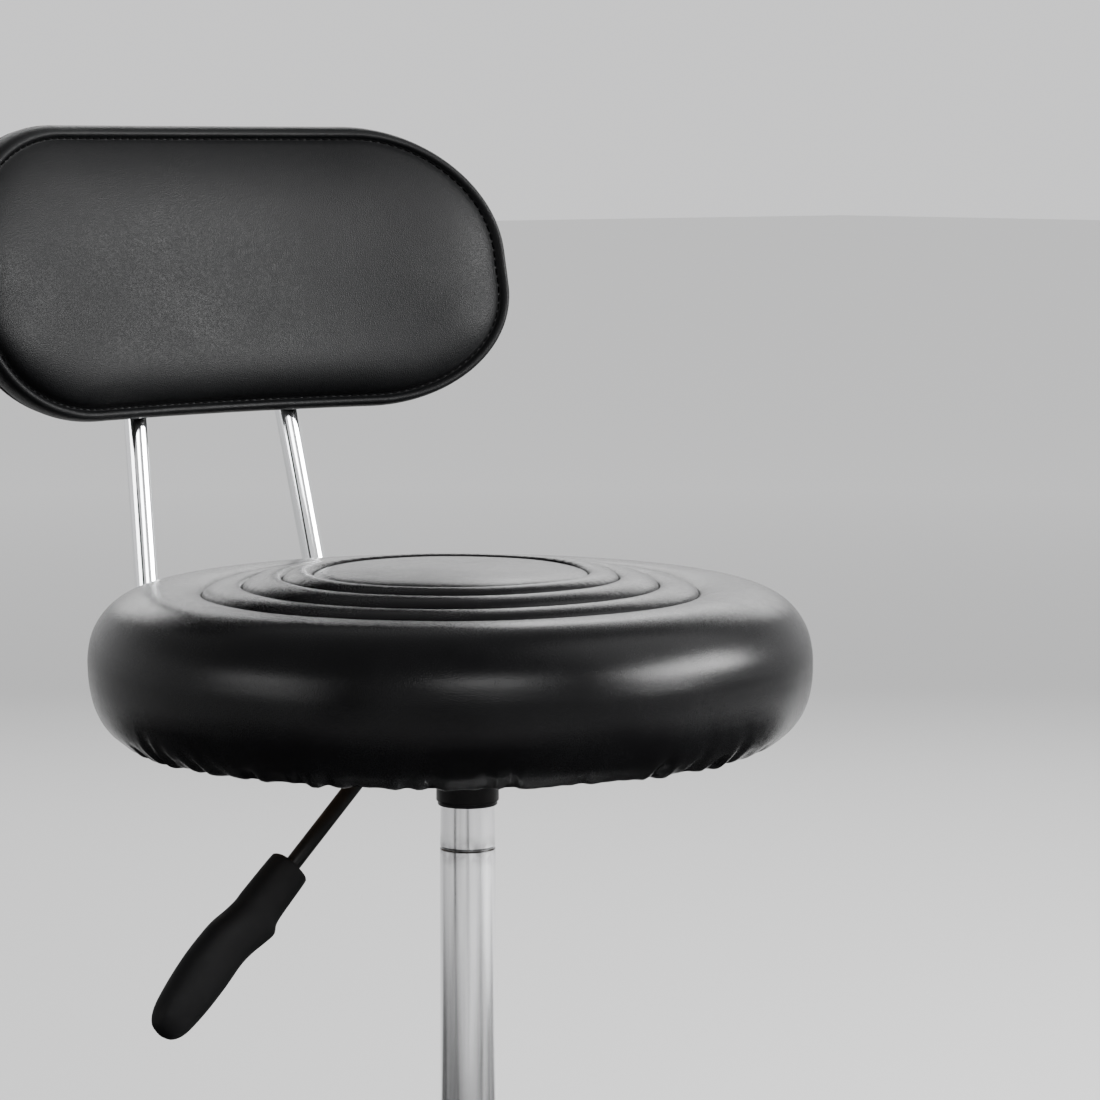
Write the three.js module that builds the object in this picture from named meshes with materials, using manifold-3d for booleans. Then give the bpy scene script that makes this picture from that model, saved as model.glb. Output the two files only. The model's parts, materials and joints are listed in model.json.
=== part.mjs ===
// A rolling stylist stool with a low curved backrest, in millimetres.
// The origin is on the floor under the column's axis, +Z is up, and -Y is the front of the seat.
// The gas lift is drawn fully raised.
import * as THREE from 'three';
import { mergeVertices } from 'three/addons/utils/BufferGeometryUtils.js';
import Module from 'manifold-3d';

const wasm = await Module();
wasm.setup();

// ---- Driving dimensions ----
const GAP = 0.3; // between pieces that touch
const SEAT_LINE = 556; // height of the outermost sewn groove on top of the seat
const SEAT_BACK = 13; // how far the seat's centre lies behind the column's axis
const SEAT_RADIUS = 181.3;
const BOARD_BOTTOM = SEAT_LINE - 71.5;
const BOARD_THICK = 12;
const BOARD_RADIUS = 163;
const VINYL = 1.3; // cover thickness

const CYLINDER_RADIUS = 14; // the gas cylinder's 28 mm tube
const SOCKET_RADIUS = 15.75;
const SOCKET_BOTTOM = SEAT_LINE - 107;
const TAPER_BOTTOM = SEAT_LINE - 129;
const TAPER_TOP_RADIUS = 13.2;
const CYLINDER_TOP = SEAT_LINE - 88.9;
const CYLINDER_BOTTOM = 216;
const COLUMN_RADIUS = 25;
const COLUMN_TOP = 283;
const COLUMN_BOTTOM = 60;
const PISTON_ROD_RADIUS = 5;
const HUB_RADIUS = 31;
const HUB_BOTTOM = 76;
const HUB_TOP = 128;

const ROD_RADIUS = 6.35; // the backrest's half-inch rods
const ROD_BACK = 204.4; // rods behind the column's axis, at the seat line
const ROD_HALF_SPACING = 54.85; // at the seat line
const ROD_LEAN = Math.tan(THREE.MathUtils.degToRad(11.7));
const ROD_CONVERGENCE = Math.tan(THREE.MathUtils.degToRad(4));
const ROD_TOP = 190; // above the seat line
const ROD_FRONT_END = 76;
const ROD_UNDER_SEAT = -79.85; // the rods' middle where they run under the board, from the seat line
const CLAMP_FRONT = 86;
const CLAMP_LENGTH = 18;
const CLAMP_SHEET = 2;

const BACK_HALF_WIDTH = 174.5;
const BACK_BOTTOM = 78; // above the seat line
const BACK_TOP = 232;
const BACK_CURVE_RADIUS = 410;
const BACK_BEFORE_RODS = 9.5;

const CASTER_CIRCLE = 214; // stem axes from the column's axis
const WHEEL_RADIUS = 25;
const WHEEL_INNER = 4.4;
const WHEEL_OUTER = 22.5;
const CASTER_TRAIL = 18;
const STEM_SHOULDER = 62;
const LEG_COUNT = 5;
const CASTER_TURNS = [12, 30, -20, 20, -30]; // degrees each caster is turned from pointing outwards

const PAN_HALF_LENGTH = 36; // the mounting pan, along the lever
const PAN_HALF_WIDTH = 28;
const FLANGE_HALF_LENGTH = 52;
const FLANGE_HALF_WIDTH = 66;
const SHEET = 2.5; // pan sheet thickness
const PAN_FLOOR = BOARD_BOTTOM - 20.3;
const BOLT_X = 36;
const BOLT_Y = 52;
const BOLT_RADIUS = 3;

const LEVER_RADIUS = 4;
const LEVER_INNER_Z = SEAT_LINE - 79.5;
const LEVER_OUTER_Z = SEAT_LINE - 84.5;
const LEVER_BEND = -65.9;
const LEVER_DROOP = THREE.MathUtils.degToRad(42.7);
const PIVOT_X = -22;
const PIVOT_Z = SEAT_LINE - 82;
const PIVOT_RADIUS = 2;
const LEVER_BAR_LENGTH = 102; // the drooping part, from the bend to its end inside the grip

// ---- Materials ----
function material(color, roughness, metalness) {
  return new THREE.MeshStandardMaterial({ color, roughness, metalness });
}
const chrome = material(0xd5d7da, 0.12, 1);
const steel = material(0x9a9da1, 0.45, 1);
const darkSteel = material(0x1b1b1d, 0.4, 0.6);
const blackNylon = material(0x161618, 0.45, 0);
const treadRubber = material(0x232325, 0.75, 0);
const softGrip = material(0x141416, 0.55, 0);
const seatVinyl = material(0x0c0c0e, 0.28, 0);
const backVinyl = material(0x1d1e20, 0.5, 0);
const foam = material(0xd9cfa8, 0.95, 0);
const plywood = material(0xb78d5a, 0.7, 0);

// ---- Solids ----
function signedVolume(geometry) {
  const flat = geometry.index ? geometry.toNonIndexed() : geometry;
  const position = flat.getAttribute('position');
  const [a, b, c] = [new THREE.Vector3(), new THREE.Vector3(), new THREE.Vector3()];
  let volume = 0;
  for (let i = 0; i < position.count; i += 3) {
    a.fromBufferAttribute(position, i);
    b.fromBufferAttribute(position, i + 1);
    c.fromBufferAttribute(position, i + 2);
    volume += a.dot(b.cross(c)) / 6;
  }
  return volume;
}

// Merges the corners of a geometry and turns its faces outwards.
function closed(geometry) {
  geometry.deleteAttribute('normal');
  geometry.deleteAttribute('uv');
  const merged = mergeVertices(geometry, 1e-3);
  if (signedVolume(merged) < 0) {
    const index = merged.index.array;
    for (let i = 0; i < index.length; i += 3) {
      [index[i + 1], index[i + 2]] = [index[i + 2], index[i + 1]];
    }
  }
  return merged;
}

// Turns a profile of [radius, height] points about +Z.
function lathe(profile, segments, start = 0) {
  const points = profile.map(([radius, height]) => new THREE.Vector2(radius, height));
  const geometry = new THREE.LatheGeometry(points, segments, start);
  return closed(geometry.rotateX(Math.PI / 2));
}

function tube(inner, outer, bottom, top, segments) {
  return lathe([[inner, bottom], [outer, bottom], [outer, top], [inner, top], [inner, bottom]], segments);
}

function rod(radius, bottom, top, segments) {
  return lathe([[0, bottom], [radius, bottom], [radius, top], [0, top]], segments);
}

function box(x0, x1, y0, y1, z0, z1) {
  const geometry = new THREE.BoxGeometry(x1 - x0, y1 - y0, z1 - z0);
  return closed(geometry.translate((x0 + x1) / 2, (y0 + y1) / 2, (z0 + z1) / 2));
}

// A closed solid through rings of points, each with the same count, capped at its first and last ring.
function loft(rings) {
  const count = rings[0].length;
  const points = rings.flat();
  const index = [];
  for (let ring = 0; ring + 1 < rings.length; ring += 1) {
    for (let i = 0; i < count; i += 1) {
      const here = ring * count + i;
      const next = ring * count + ((i + 1) % count);
      index.push(here, next, next + count, here, next + count, here + count);
    }
  }
  const cap = (first, flip) => {
    const middle = new THREE.Vector3();
    for (let i = 0; i < count; i += 1) middle.addScaledVector(points[first + i], 1 / count);
    points.push(middle);
    for (let i = 0; i < count; i += 1) {
      const edge = [first + i, first + ((i + 1) % count)];
      index.push(points.length - 1, ...(flip ? edge.reverse() : edge));
    }
  };
  cap(0, true);
  cap((rings.length - 1) * count, false);
  const geometry = new THREE.BufferGeometry();
  const coordinates = points.flatMap((point) => point.toArray());
  geometry.setAttribute('position', new THREE.Float32BufferAttribute(coordinates, 3));
  geometry.setIndex(index);
  return closed(geometry);
}

// A round bar along a path of points, with each ring square to the path.
function bar(path, radius, sides) {
  const side = new THREE.Vector3(0, 1, 0);
  const rings = path.map((point, i) => {
    const along = path[Math.min(i + 1, path.length - 1)].clone().sub(path[Math.max(i - 1, 0)]).normalize();
    if (Math.abs(along.dot(side)) > 0.9) side.set(1, 0, 0);
    const across = side.clone().addScaledVector(along, -side.dot(along)).normalize();
    side.copy(across);
    const up = along.clone().cross(across);
    return Array.from({ length: sides }, (_, k) => {
      const angle = (2 * Math.PI * k) / sides;
      return point.clone()
        .addScaledVector(across, radius * Math.cos(angle))
        .addScaledVector(up, radius * Math.sin(angle));
    });
  });
  return loft(rings);
}

// The corners of a bent bar with each inner corner rounded to a radius.
function bentPath(corners, radius, steps) {
  const path = [corners[0]];
  for (let i = 1; i + 1 < corners.length; i += 1) {
    const corner = corners[i];
    const back = corners[i - 1].clone().sub(corner).normalize();
    const on = corners[i + 1].clone().sub(corner).normalize();
    const half = back.angleTo(on) / 2;
    const reach = radius / Math.tan(half);
    const toCentre = back.clone().add(on).normalize().multiplyScalar(radius / Math.sin(half));
    const start = back.multiplyScalar(reach).sub(toCentre);
    const end = on.multiplyScalar(reach).sub(toCentre);
    const sweep = start.angleTo(end);
    for (let s = 0; s <= steps; s += 1) {
      const turned = (s / steps) * sweep;
      const point = corner.clone().add(toCentre)
        .addScaledVector(start, Math.sin(sweep - turned) / Math.sin(sweep))
        .addScaledVector(end, Math.sin(turned) / Math.sin(sweep));
      path.push(point);
    }
  }
  path.push(corners[corners.length - 1]);
  return path;
}

function solid(geometry) {
  const merged = closed(geometry.clone());
  return new wasm.Manifold(new wasm.Mesh({
    numProp: 3,
    vertProperties: merged.getAttribute('position').array,
    triVerts: new Uint32Array(merged.index.array),
  }));
}

function geometryOf(manifold) {
  const mesh = manifold.getMesh();
  const geometry = new THREE.BufferGeometry();
  geometry.setAttribute('position', new THREE.Float32BufferAttribute(mesh.vertProperties, 3));
  geometry.setIndex(Array.from(mesh.triVerts));
  return geometry;
}

function cut(geometry, ...tools) {
  return geometryOf(tools.reduce((left, tool) => left.subtract(solid(tool)), solid(geometry)));
}

function join(...geometries) {
  return geometryOf(geometries.map(solid).reduce((left, right) => left.add(right)));
}

// ---- Group ----
const stool = new THREE.Group();

function add(name, geometry, look, parent = stool) {
  const mesh = new THREE.Mesh(geometry, look);
  mesh.name = name;
  parent.add(mesh);
  return mesh;
}

// ---- Casters: local +X points where the wheels trail, and the stem's axis is x = 0 ----
function wheelGeometry(side) {
  // The flat of a 24-sided wheel lies on the floor.
  const segments = 24;
  const radius = WHEEL_RADIUS / Math.cos(Math.PI / segments);
  const profile = [
    [0, WHEEL_OUTER - 2],
    [3.5, WHEEL_OUTER - 2],
    [3.5, WHEEL_INNER],
    [radius - 1.2, WHEEL_INNER],
    [radius, WHEEL_INNER + 1.2],
    [radius, WHEEL_OUTER - 2.4],
    [radius - 2.4, WHEEL_OUTER],
    [0, WHEEL_OUTER],
  ];
  const geometry = lathe(profile, segments, Math.PI / segments);
  return geometry.rotateX(side > 0 ? -Math.PI / 2 : Math.PI / 2);
}

function hoodGeometry() {
  const cover = WHEEL_RADIUS + 1.9;
  const coverOuter = cover + 2.6;
  const from = THREE.MathUtils.degToRad(38);
  const to = THREE.MathUtils.degToRad(205);
  const fender = new THREE.Shape();
  fender.absarc(CASTER_TRAIL, WHEEL_RADIUS, coverOuter, from, to, false);
  fender.absarc(CASTER_TRAIL, WHEEL_RADIUS, cover, to, from, true);
  fender.closePath();
  const web = new THREE.Shape();
  web.absarc(CASTER_TRAIL, WHEEL_RADIUS, cover + 1, from, to, false);
  web.absarc(CASTER_TRAIL, WHEEL_RADIUS, 7, to, 2 * Math.PI + from, false);
  web.closePath();
  const slab = (shape, halfWidth) => {
    const options = { depth: 2 * halfWidth, bevelEnabled: false, curveSegments: 6 };
    const geometry = new THREE.ExtrudeGeometry(shape, options);
    return closed(geometry.rotateX(Math.PI / 2).translate(0, halfWidth, 0));
  };
  const boss = rod(9, 40, STEM_SHOULDER - 1.6, 12);
  const wheelRoom = rod(cover, -2 * WHEEL_OUTER, 2 * WHEEL_OUTER, 16)
    .rotateX(Math.PI / 2)
    .translate(CASTER_TRAIL, 0, WHEEL_RADIUS);
  const bossAboveWheels = cut(boss, wheelRoom);
  const stemBore = rod(4.5, 44, STEM_SHOULDER, 12);
  const axleBore = rod(3.4, -10, 10, 10).rotateX(Math.PI / 2).translate(CASTER_TRAIL, 0, WHEEL_RADIUS);
  const body = join(slab(fender, WHEEL_OUTER + 1), slab(web, WHEEL_INNER - 0.7), bossAboveWheels);
  return cut(body, stemBore, axleBore);
}

function stemGeometry() {
  return lathe([
    [0, 50.5],
    [4, 50.5],
    [4, STEM_SHOULDER - 1.3],
    [8, STEM_SHOULDER - 1.3],
    [8, STEM_SHOULDER],
    [5.5, STEM_SHOULDER],
    [5.5, 80],
    [0, 80],
  ], 12);
}

function addCaster(number, parent) {
  const turned = new THREE.Group();
  turned.rotation.z = THREE.MathUtils.degToRad(CASTER_TURNS[number - 1]);
  parent.add(turned);
  add(`caster_${number}_stem`, stemGeometry(), steel, turned);
  add(`caster_${number}_hood`, hoodGeometry(), blackNylon, turned);
  const wheels = new THREE.Group();
  wheels.position.set(CASTER_TRAIL, 0, WHEEL_RADIUS);
  turned.add(wheels);
  const axle = rod(3, 3 - WHEEL_OUTER, WHEEL_OUTER - 3, 10).rotateX(Math.PI / 2);
  add(`caster_${number}_axle`, axle, steel, wheels);
  add(`caster_${number}_wheel_a`, wheelGeometry(1), treadRubber, wheels);
  add(`caster_${number}_wheel_b`, wheelGeometry(-1), treadRubber, wheels);
}

// ---- Base: a hub and pressed legs, open underneath, each with a socket for its caster stem ----
function legGeometry() {
  const start = HUB_RADIUS + 0.6;
  const tip = CASTER_CIRCLE + 14;
  const wall = 3;
  const along = (distance) => (distance - start) / (tip - start);
  const topAt = (distance) => 84 + 38 * (1 - along(distance)) ** 1.5;
  const bottomAt = (distance) => STEM_SHOULDER + GAP + 18 * (1 - along(distance)) ** 1.4;
  const halfWidthAt = (distance) => 12.5 + 5 * (1 - along(distance));
  const section = (distance, inset, narrow, drop) => {
    const half = (halfWidthAt(distance) - inset) * narrow;
    const top = topAt(distance) - inset;
    const bottom = bottomAt(distance) - drop;
    const corner = Math.min(5, half / 2);
    const outline = [
      [-half, bottom],
      [half, bottom],
      [half, top - corner],
      [half - corner * 0.3, top - corner * 0.3],
      [half - corner, top],
      [corner - half, top],
      [corner * 0.3 - half, top - corner * 0.3],
      [-half, top - corner],
    ];
    return outline.map(([y, z]) => new THREE.Vector3(distance, y, z));
  };
  const stations = [start, 70, 120, 165, CASTER_CIRCLE - 12, CASTER_CIRCLE + 4];
  const outer = stations.map((distance) => section(distance, 0, 1, 0));
  outer.push(section(CASTER_CIRCLE + 11, 0, 0.75, 0), section(tip, 0, 0.4, 0));
  const hollowStations = [start + wall, 70, 120, 165, CASTER_CIRCLE - 14];
  const hollow = hollowStations.map((distance) => section(distance, wall, 1, 4));
  const socket = rod(6, STEM_SHOULDER - 2, 80 + GAP, 12).translate(CASTER_CIRCLE, 0, 0);
  return cut(loft(outer), loft(hollow), socket);
}

function addBase() {
  const hub = lathe([
    [COLUMN_RADIUS + 0.4, HUB_BOTTOM],
    [HUB_RADIUS, HUB_BOTTOM],
    [HUB_RADIUS, HUB_TOP - 3],
    [HUB_RADIUS - 3, HUB_TOP],
    [COLUMN_RADIUS + 0.4, HUB_TOP],
    [COLUMN_RADIUS + 0.4, HUB_BOTTOM],
  ], 32);
  add('base_hub', hub, chrome);
  for (let number = 1; number <= LEG_COUNT; number += 1) {
    const arm = new THREE.Group();
    arm.rotation.z = -Math.PI / 2 + ((number - 1) * 2 * Math.PI) / LEG_COUNT;
    stool.add(arm);
    add(`base_leg_${number}`, legGeometry(), chrome, arm);
    const corner = new THREE.Group();
    corner.position.x = CASTER_CIRCLE;
    arm.add(corner);
    addCaster(number, corner);
  }
}

// ---- Gas lift ----
function addColumn() {
  const inside = COLUMN_RADIUS - 1.8;
  const floorHole = PISTON_ROD_RADIUS + 0.6;
  const floorTop = COLUMN_BOTTOM + 3;
  add('column_tube', lathe([
    [floorHole, COLUMN_BOTTOM],
    [COLUMN_RADIUS, COLUMN_BOTTOM],
    [COLUMN_RADIUS, COLUMN_TOP],
    [inside, COLUMN_TOP],
    [inside, floorTop],
    [floorHole, floorTop],
    [floorHole, COLUMN_BOTTOM],
  ], 32), chrome);
  const bore = CYLINDER_RADIUS + 0.35;
  add('guide_bush', lathe([
    [bore, COLUMN_TOP - 80],
    [inside - GAP, COLUMN_TOP - 80],
    [inside - GAP, COLUMN_TOP + GAP],
    [COLUMN_RADIUS, COLUMN_TOP + GAP],
    [COLUMN_RADIUS, COLUMN_TOP + 4],
    [COLUMN_RADIUS - 3, COLUMN_TOP + 6],
    [bore, COLUMN_TOP + 6],
    [bore, COLUMN_TOP - 80],
  ], 32), blackNylon);
  const raceOuter = CYLINDER_RADIUS;
  add('bearing_race_lower', tube(floorHole, raceOuter, floorTop + GAP, floorTop + 3, 20), steel);
  add('bearing_race_upper', tube(PISTON_ROD_RADIUS + 0.4, raceOuter, floorTop + 4, floorTop + 7, 20), steel);
}

function addPistonRod() {
  const grooveBottom = COLUMN_BOTTOM - 2;
  const groove = 3.4;
  const shoulder = COLUMN_BOTTOM + 10 + GAP;
  const headBottom = CYLINDER_BOTTOM + 6;
  const headTop = headBottom + 14;
  add('piston_rod', lathe([
    [0, COLUMN_BOTTOM - 5],
    [PISTON_ROD_RADIUS, COLUMN_BOTTOM - 5],
    [PISTON_ROD_RADIUS, grooveBottom],
    [groove, grooveBottom],
    [groove, grooveBottom + 1.7],
    [PISTON_ROD_RADIUS, grooveBottom + 1.7],
    [PISTON_ROD_RADIUS, shoulder],
    [8, shoulder],
    [8, shoulder + 3],
    [PISTON_ROD_RADIUS, shoulder + 3],
    [PISTON_ROD_RADIUS, headBottom],
    [CYLINDER_RADIUS - 2.4, headBottom],
    [CYLINDER_RADIUS - 2.4, headTop],
    [0, headTop],
  ], 16), steel);
  const ring = tube(groove + GAP, 9, grooveBottom + GAP, grooveBottom + 1.4, 20);
  const mouth = box(0, 12, -3, 3, grooveBottom - 1, grooveBottom + 3);
  add('retaining_clip', cut(ring, mouth), steel);
}

function taperRadius(z) {
  const rise = (z - TAPER_BOTTOM) / (CYLINDER_TOP - TAPER_BOTTOM);
  return CYLINDER_RADIUS - 0.1 + rise * (TAPER_TOP_RADIUS - CYLINDER_RADIUS + 0.1);
}

function addGasCylinder() {
  const inside = CYLINDER_RADIUS - 2;
  const cavityTop = CYLINDER_TOP - 30;
  const pinBore = 3;
  add('gas_cylinder', lathe([
    [PISTON_ROD_RADIUS + 0.4, CYLINDER_BOTTOM],
    [CYLINDER_RADIUS, CYLINDER_BOTTOM],
    [CYLINDER_RADIUS, TAPER_BOTTOM],
    [CYLINDER_RADIUS - 0.5, TAPER_BOTTOM + 0.1],
    [CYLINDER_RADIUS - 0.5, TAPER_BOTTOM + 0.9],
    [taperRadius(TAPER_BOTTOM), TAPER_BOTTOM + 1],
    [TAPER_TOP_RADIUS, CYLINDER_TOP],
    [pinBore, CYLINDER_TOP],
    [pinBore, cavityTop],
    [inside, cavityTop],
    [inside, CYLINDER_BOTTOM + 4],
    [PISTON_ROD_RADIUS + 0.4, CYLINDER_BOTTOM + 4],
    [PISTON_ROD_RADIUS + 0.4, CYLINDER_BOTTOM],
  ], 28), chrome);
  add('release_pin', rod(2.5, CYLINDER_TOP - 20, CYLINDER_TOP + 5, 12), steel);
  const socketTop = CYLINDER_TOP - 1.1;
  add('taper_socket', lathe([
    [taperRadius(SOCKET_BOTTOM) + 0.35, SOCKET_BOTTOM],
    [SOCKET_RADIUS, SOCKET_BOTTOM],
    [SOCKET_RADIUS, socketTop],
    [taperRadius(socketTop) + 0.35, socketTop],
    [taperRadius(SOCKET_BOTTOM) + 0.35, SOCKET_BOTTOM],
  ], 28), darkSteel);
}

// ---- Seat mechanism: a pressed pan bolted to the board, and the lever inside it ----
function eachBolt(visit) {
  [[-1, -1], [1, -1], [1, 1], [-1, 1]].forEach(([alongX, alongY], i) => {
    visit(alongX * BOLT_X, alongY * BOLT_Y, i + 1);
  });
}

function boltHoles(bottom, top) {
  const holes = [];
  eachBolt((x, y) => holes.push(rod(BOLT_RADIUS + 0.5, bottom, top, 12).translate(x, y, 0)));
  return holes;
}

function addMountingPan() {
  const flangeTop = BOARD_BOTTOM - GAP;
  const flange = box(
    -FLANGE_HALF_LENGTH, FLANGE_HALF_LENGTH, -FLANGE_HALF_WIDTH, FLANGE_HALF_WIDTH,
    flangeTop - SHEET, flangeTop,
  );
  const tray = box(
    -PAN_HALF_LENGTH, PAN_HALF_LENGTH, -PAN_HALF_WIDTH, PAN_HALF_WIDTH,
    PAN_FLOOR, flangeTop,
  );
  const inside = box(
    SHEET - PAN_HALF_LENGTH, PAN_HALF_LENGTH - SHEET, SHEET - PAN_HALF_WIDTH, PAN_HALF_WIDTH - SHEET,
    PAN_FLOOR + SHEET, flangeTop + 1,
  );
  const ear = (y) => box(PIVOT_X - 6, PIVOT_X + 4, y - 1.25, y + 1.25, PAN_FLOOR + 1, PIVOT_Z + 5);
  const ears = [ear(-8), ear(8)];
  const socketHole = rod(SOCKET_RADIUS + GAP + 0.1, PAN_FLOOR - 1, PAN_FLOOR + SHEET + 1, 28);
  const leverSlot = box(
    -PAN_HALF_LENGTH - 1, SHEET + 1 - PAN_HALF_LENGTH, -5.5, 5.5,
    LEVER_OUTER_Z - LEVER_RADIUS - 1.5, flangeTop - SHEET - 0.5,
  );
  const pivotHole = rod(PIVOT_RADIUS + 0.3, -15, 15, 12)
    .rotateX(Math.PI / 2)
    .translate(PIVOT_X, 0, PIVOT_Z);
  const pan = join(cut(join(flange, tray), inside), ...ears);
  const flangeHoles = boltHoles(flangeTop - SHEET - 1, flangeTop + 1);
  add('mounting_pan', cut(pan, socketHole, leverSlot, pivotHole, ...flangeHoles), darkSteel);
  const headTop = flangeTop - SHEET - GAP;
  eachBolt((x, y, number) => {
    const bolt = lathe([
      [0, headTop - 4],
      [5, headTop - 4],
      [5, headTop],
      [BOLT_RADIUS, headTop],
      [BOLT_RADIUS, BOARD_BOTTOM + BOARD_THICK - 1],
      [0, BOARD_BOTTOM + BOARD_THICK - 1],
    ], 8);
    add(`seat_bolt_${number}`, bolt.translate(x, y, 0), steel);
  });
  const pin = rod(PIVOT_RADIUS, -11, 11, 12).rotateX(Math.PI / 2).translate(PIVOT_X, 0, PIVOT_Z);
  add('lever_pivot_pin', pin, steel);
}

function addLever() {
  const down = new THREE.Vector3(-Math.cos(LEVER_DROOP), 0, -Math.sin(LEVER_DROOP));
  const bend = new THREE.Vector3(LEVER_BEND, 0, LEVER_OUTER_Z);
  const corners = [
    new THREE.Vector3(5, 0, LEVER_INNER_Z),
    new THREE.Vector3(-14, 0, LEVER_INNER_Z),
    new THREE.Vector3(-30, 0, LEVER_OUTER_Z),
    bend,
    bend.clone().addScaledVector(down, LEVER_BAR_LENGTH),
  ];
  const leverBar = bar(bentPath(corners, 9, 3), LEVER_RADIUS, 12);
  const pivotBore = rod(PIVOT_RADIUS + 0.3, -6, 6, 12).rotateX(Math.PI / 2).translate(PIVOT_X, 0, PIVOT_Z);
  add('lever_rod', cut(leverBar, pivotBore), darkSteel);
  add('lever_grip', gripGeometry(bend, down), softGrip);
}

// The grip: flattened rings along the drooping part, each as
// [distance from the bend, rise, half height, half width].
function gripGeometry(bend, down) {
  const rings = [
    [59.5, 0.3, 9.6, 7.8],
    [62, 0.3, 10.5, 8.5],
    [84, 0, 11.4, 8.8],
    [90, -1.5, 12.9, 9],
    [97, -0.3, 12.8, 9],
    [105, 1.7, 12.7, 9],
    [113, 2.5, 12.6, 9],
    [126, 2.1, 13, 9],
    [140, 1.4, 12.3, 8.8],
    [152, 0.8, 10.8, 8],
    [160, 0.5, 8, 6.5],
    [163.5, 0.4, 4, 3.5],
  ];
  const rise = new THREE.Vector3(down.z, 0, -down.x);
  const outside = loft(rings.map(([distance, offset, halfHeight, halfWidth]) => {
    const middle = bend.clone().addScaledVector(down, distance).addScaledVector(rise, offset);
    return Array.from({ length: 14 }, (_, k) => {
      const angle = (2 * Math.PI * k) / 14;
      return middle.clone()
        .addScaledVector(rise, halfHeight * Math.cos(angle))
        .add(new THREE.Vector3(0, halfWidth * Math.sin(angle), 0));
    });
  }));
  const boreEnd = bend.clone().addScaledVector(down, LEVER_BAR_LENGTH + 1);
  const bore = bar([bend.clone().addScaledVector(down, 50), boreEnd], LEVER_RADIUS + 0.4, 12);
  return cut(outside, bore);
}

// ---- Seat cushion ----
function addSeat() {
  const seat = new THREE.Group();
  seat.position.set(0, SEAT_BACK, 0);
  stool.add(seat);
  const up = (offset) => SEAT_LINE + offset;
  const hem = BOARD_BOTTOM - VINYL - GAP;
  const cover = [
    [0, up(11)],
    [56, up(10.6)],
    [69, up(7)],
    [76.5, up(10)],
    [84.3, up(4.6)],
    [94, up(7.5)],
    [104.3, up(0.8)],
    [114, up(3.8)],
    [124.3, up(-2.6)],
    [135, up(1.8)],
    [147, up(1.2)],
    [160, up(-1.6)],
    [170, up(-7)],
    [177.3, up(-16.4)],
    [181, up(-28)],
    [SEAT_RADIUS, up(-38)],
    [180, up(-50)],
    [176, up(-60.6)],
    [168.5, up(-69)],
    [164, hem],
    [141, hem],
  ];
  const lining = [
    [141, hem + VINYL],
    [163.5, hem + VINYL],
    [167.5, up(-67.6)],
    [SEAT_RADIUS - VINYL, up(-40)],
    [172, up(-11)],
    [157, up(-3)],
    [124, up(-3.2)],
    [0, up(8.4)],
  ];
  const segments = 36;
  add('seat_cover', lathe([...cover, ...lining], segments, Math.PI / segments), seatVinyl, seat);
  const boardTop = BOARD_BOTTOM + BOARD_THICK;
  const foamBody = [
    [0, boardTop + GAP],
    [BOARD_RADIUS + 3, boardTop + GAP],
    [SEAT_RADIUS - VINYL - 1, up(-40)],
    [171, up(-12)],
    [156, up(-4)],
    [124, up(-4.2)],
    [0, up(7.4)],
  ];
  add('seat_foam', lathe(foamBody, segments, Math.PI / segments), foam, seat);
  const board = rod(BOARD_RADIUS, BOARD_BOTTOM, boardTop, segments).translate(0, SEAT_BACK, 0);
  add('seat_board', cut(board, ...boltHoles(BOARD_BOTTOM - 1, boardTop + 1)), plywood);
}

// ---- Backrest ----
function rodPoint(side, height) {
  return new THREE.Vector3(
    side * (ROD_HALF_SPACING - height * ROD_CONVERGENCE),
    ROD_BACK + height * ROD_LEAN,
    SEAT_LINE + height,
  );
}

function rodPath(side) {
  const corner = rodPoint(side, ROD_UNDER_SEAT);
  const end = corner.clone().setY(ROD_FRONT_END);
  return bentPath([rodPoint(side, ROD_TOP), corner, end], 22, 5);
}

// A pressed strap that holds a rod up against the board.
function clampGeometry(side) {
  const { x, z } = rodPoint(side, ROD_UNDER_SEAT);
  const back = CLAMP_FRONT + CLAMP_LENGTH;
  const top = BOARD_BOTTOM - GAP;
  const bore = ROD_RADIUS + GAP;
  const outside = bore + CLAMP_SHEET;
  const flange = box(x - 17, x + 17, CLAMP_FRONT, back, top - CLAMP_SHEET, top);
  const saddle = box(x - outside, x + outside, CLAMP_FRONT, back, z, top);
  const along = (radius, extra) => rod(radius, CLAMP_FRONT - extra, back + extra, 20)
    .rotateX(-Math.PI / 2)
    .translate(x, 0, z);
  const room = box(x - bore, x + bore, CLAMP_FRONT - 1, back + 1, z, top + 1);
  return cut(join(flange, saddle, along(outside, 0)), along(bore, 1), room);
}

// The outline of the backrest, seen square on, as points of x and height above the seat line.
// The points keep their places along it whatever the inset.
function backOutline(inset) {
  const upper = { x: BACK_HALF_WIDTH - 80, z: BACK_TOP - 69, width: 80 - inset, height: 69 - inset };
  const lower = { x: BACK_HALF_WIDTH - 85, z: BACK_BOTTOM + 66, width: 85 - inset, height: 66 - inset };
  const path = new THREE.Path();
  path.absellipse(upper.x, upper.z, upper.width, upper.height, Math.PI / 2, 0, true);
  path.absellipse(lower.x, lower.z, lower.width, lower.height, 0, -Math.PI / 2, true);
  path.absellipse(-lower.x, lower.z, lower.width, lower.height, -Math.PI / 2, -Math.PI, true);
  path.absellipse(-upper.x, upper.z, upper.width, upper.height, Math.PI, Math.PI / 2, true);
  path.closePath();
  return path.curves.flatMap((curve) => {
    if (curve.isEllipseCurve) return curve.getPoints(5).slice(0, 5);
    const level = Math.abs(curve.getPoint(0).y - curve.getPoint(1).y) < 1;
    const steps = level ? 4 : 1;
    return curve.getPoints(steps).slice(0, steps);
  });
}

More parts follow.
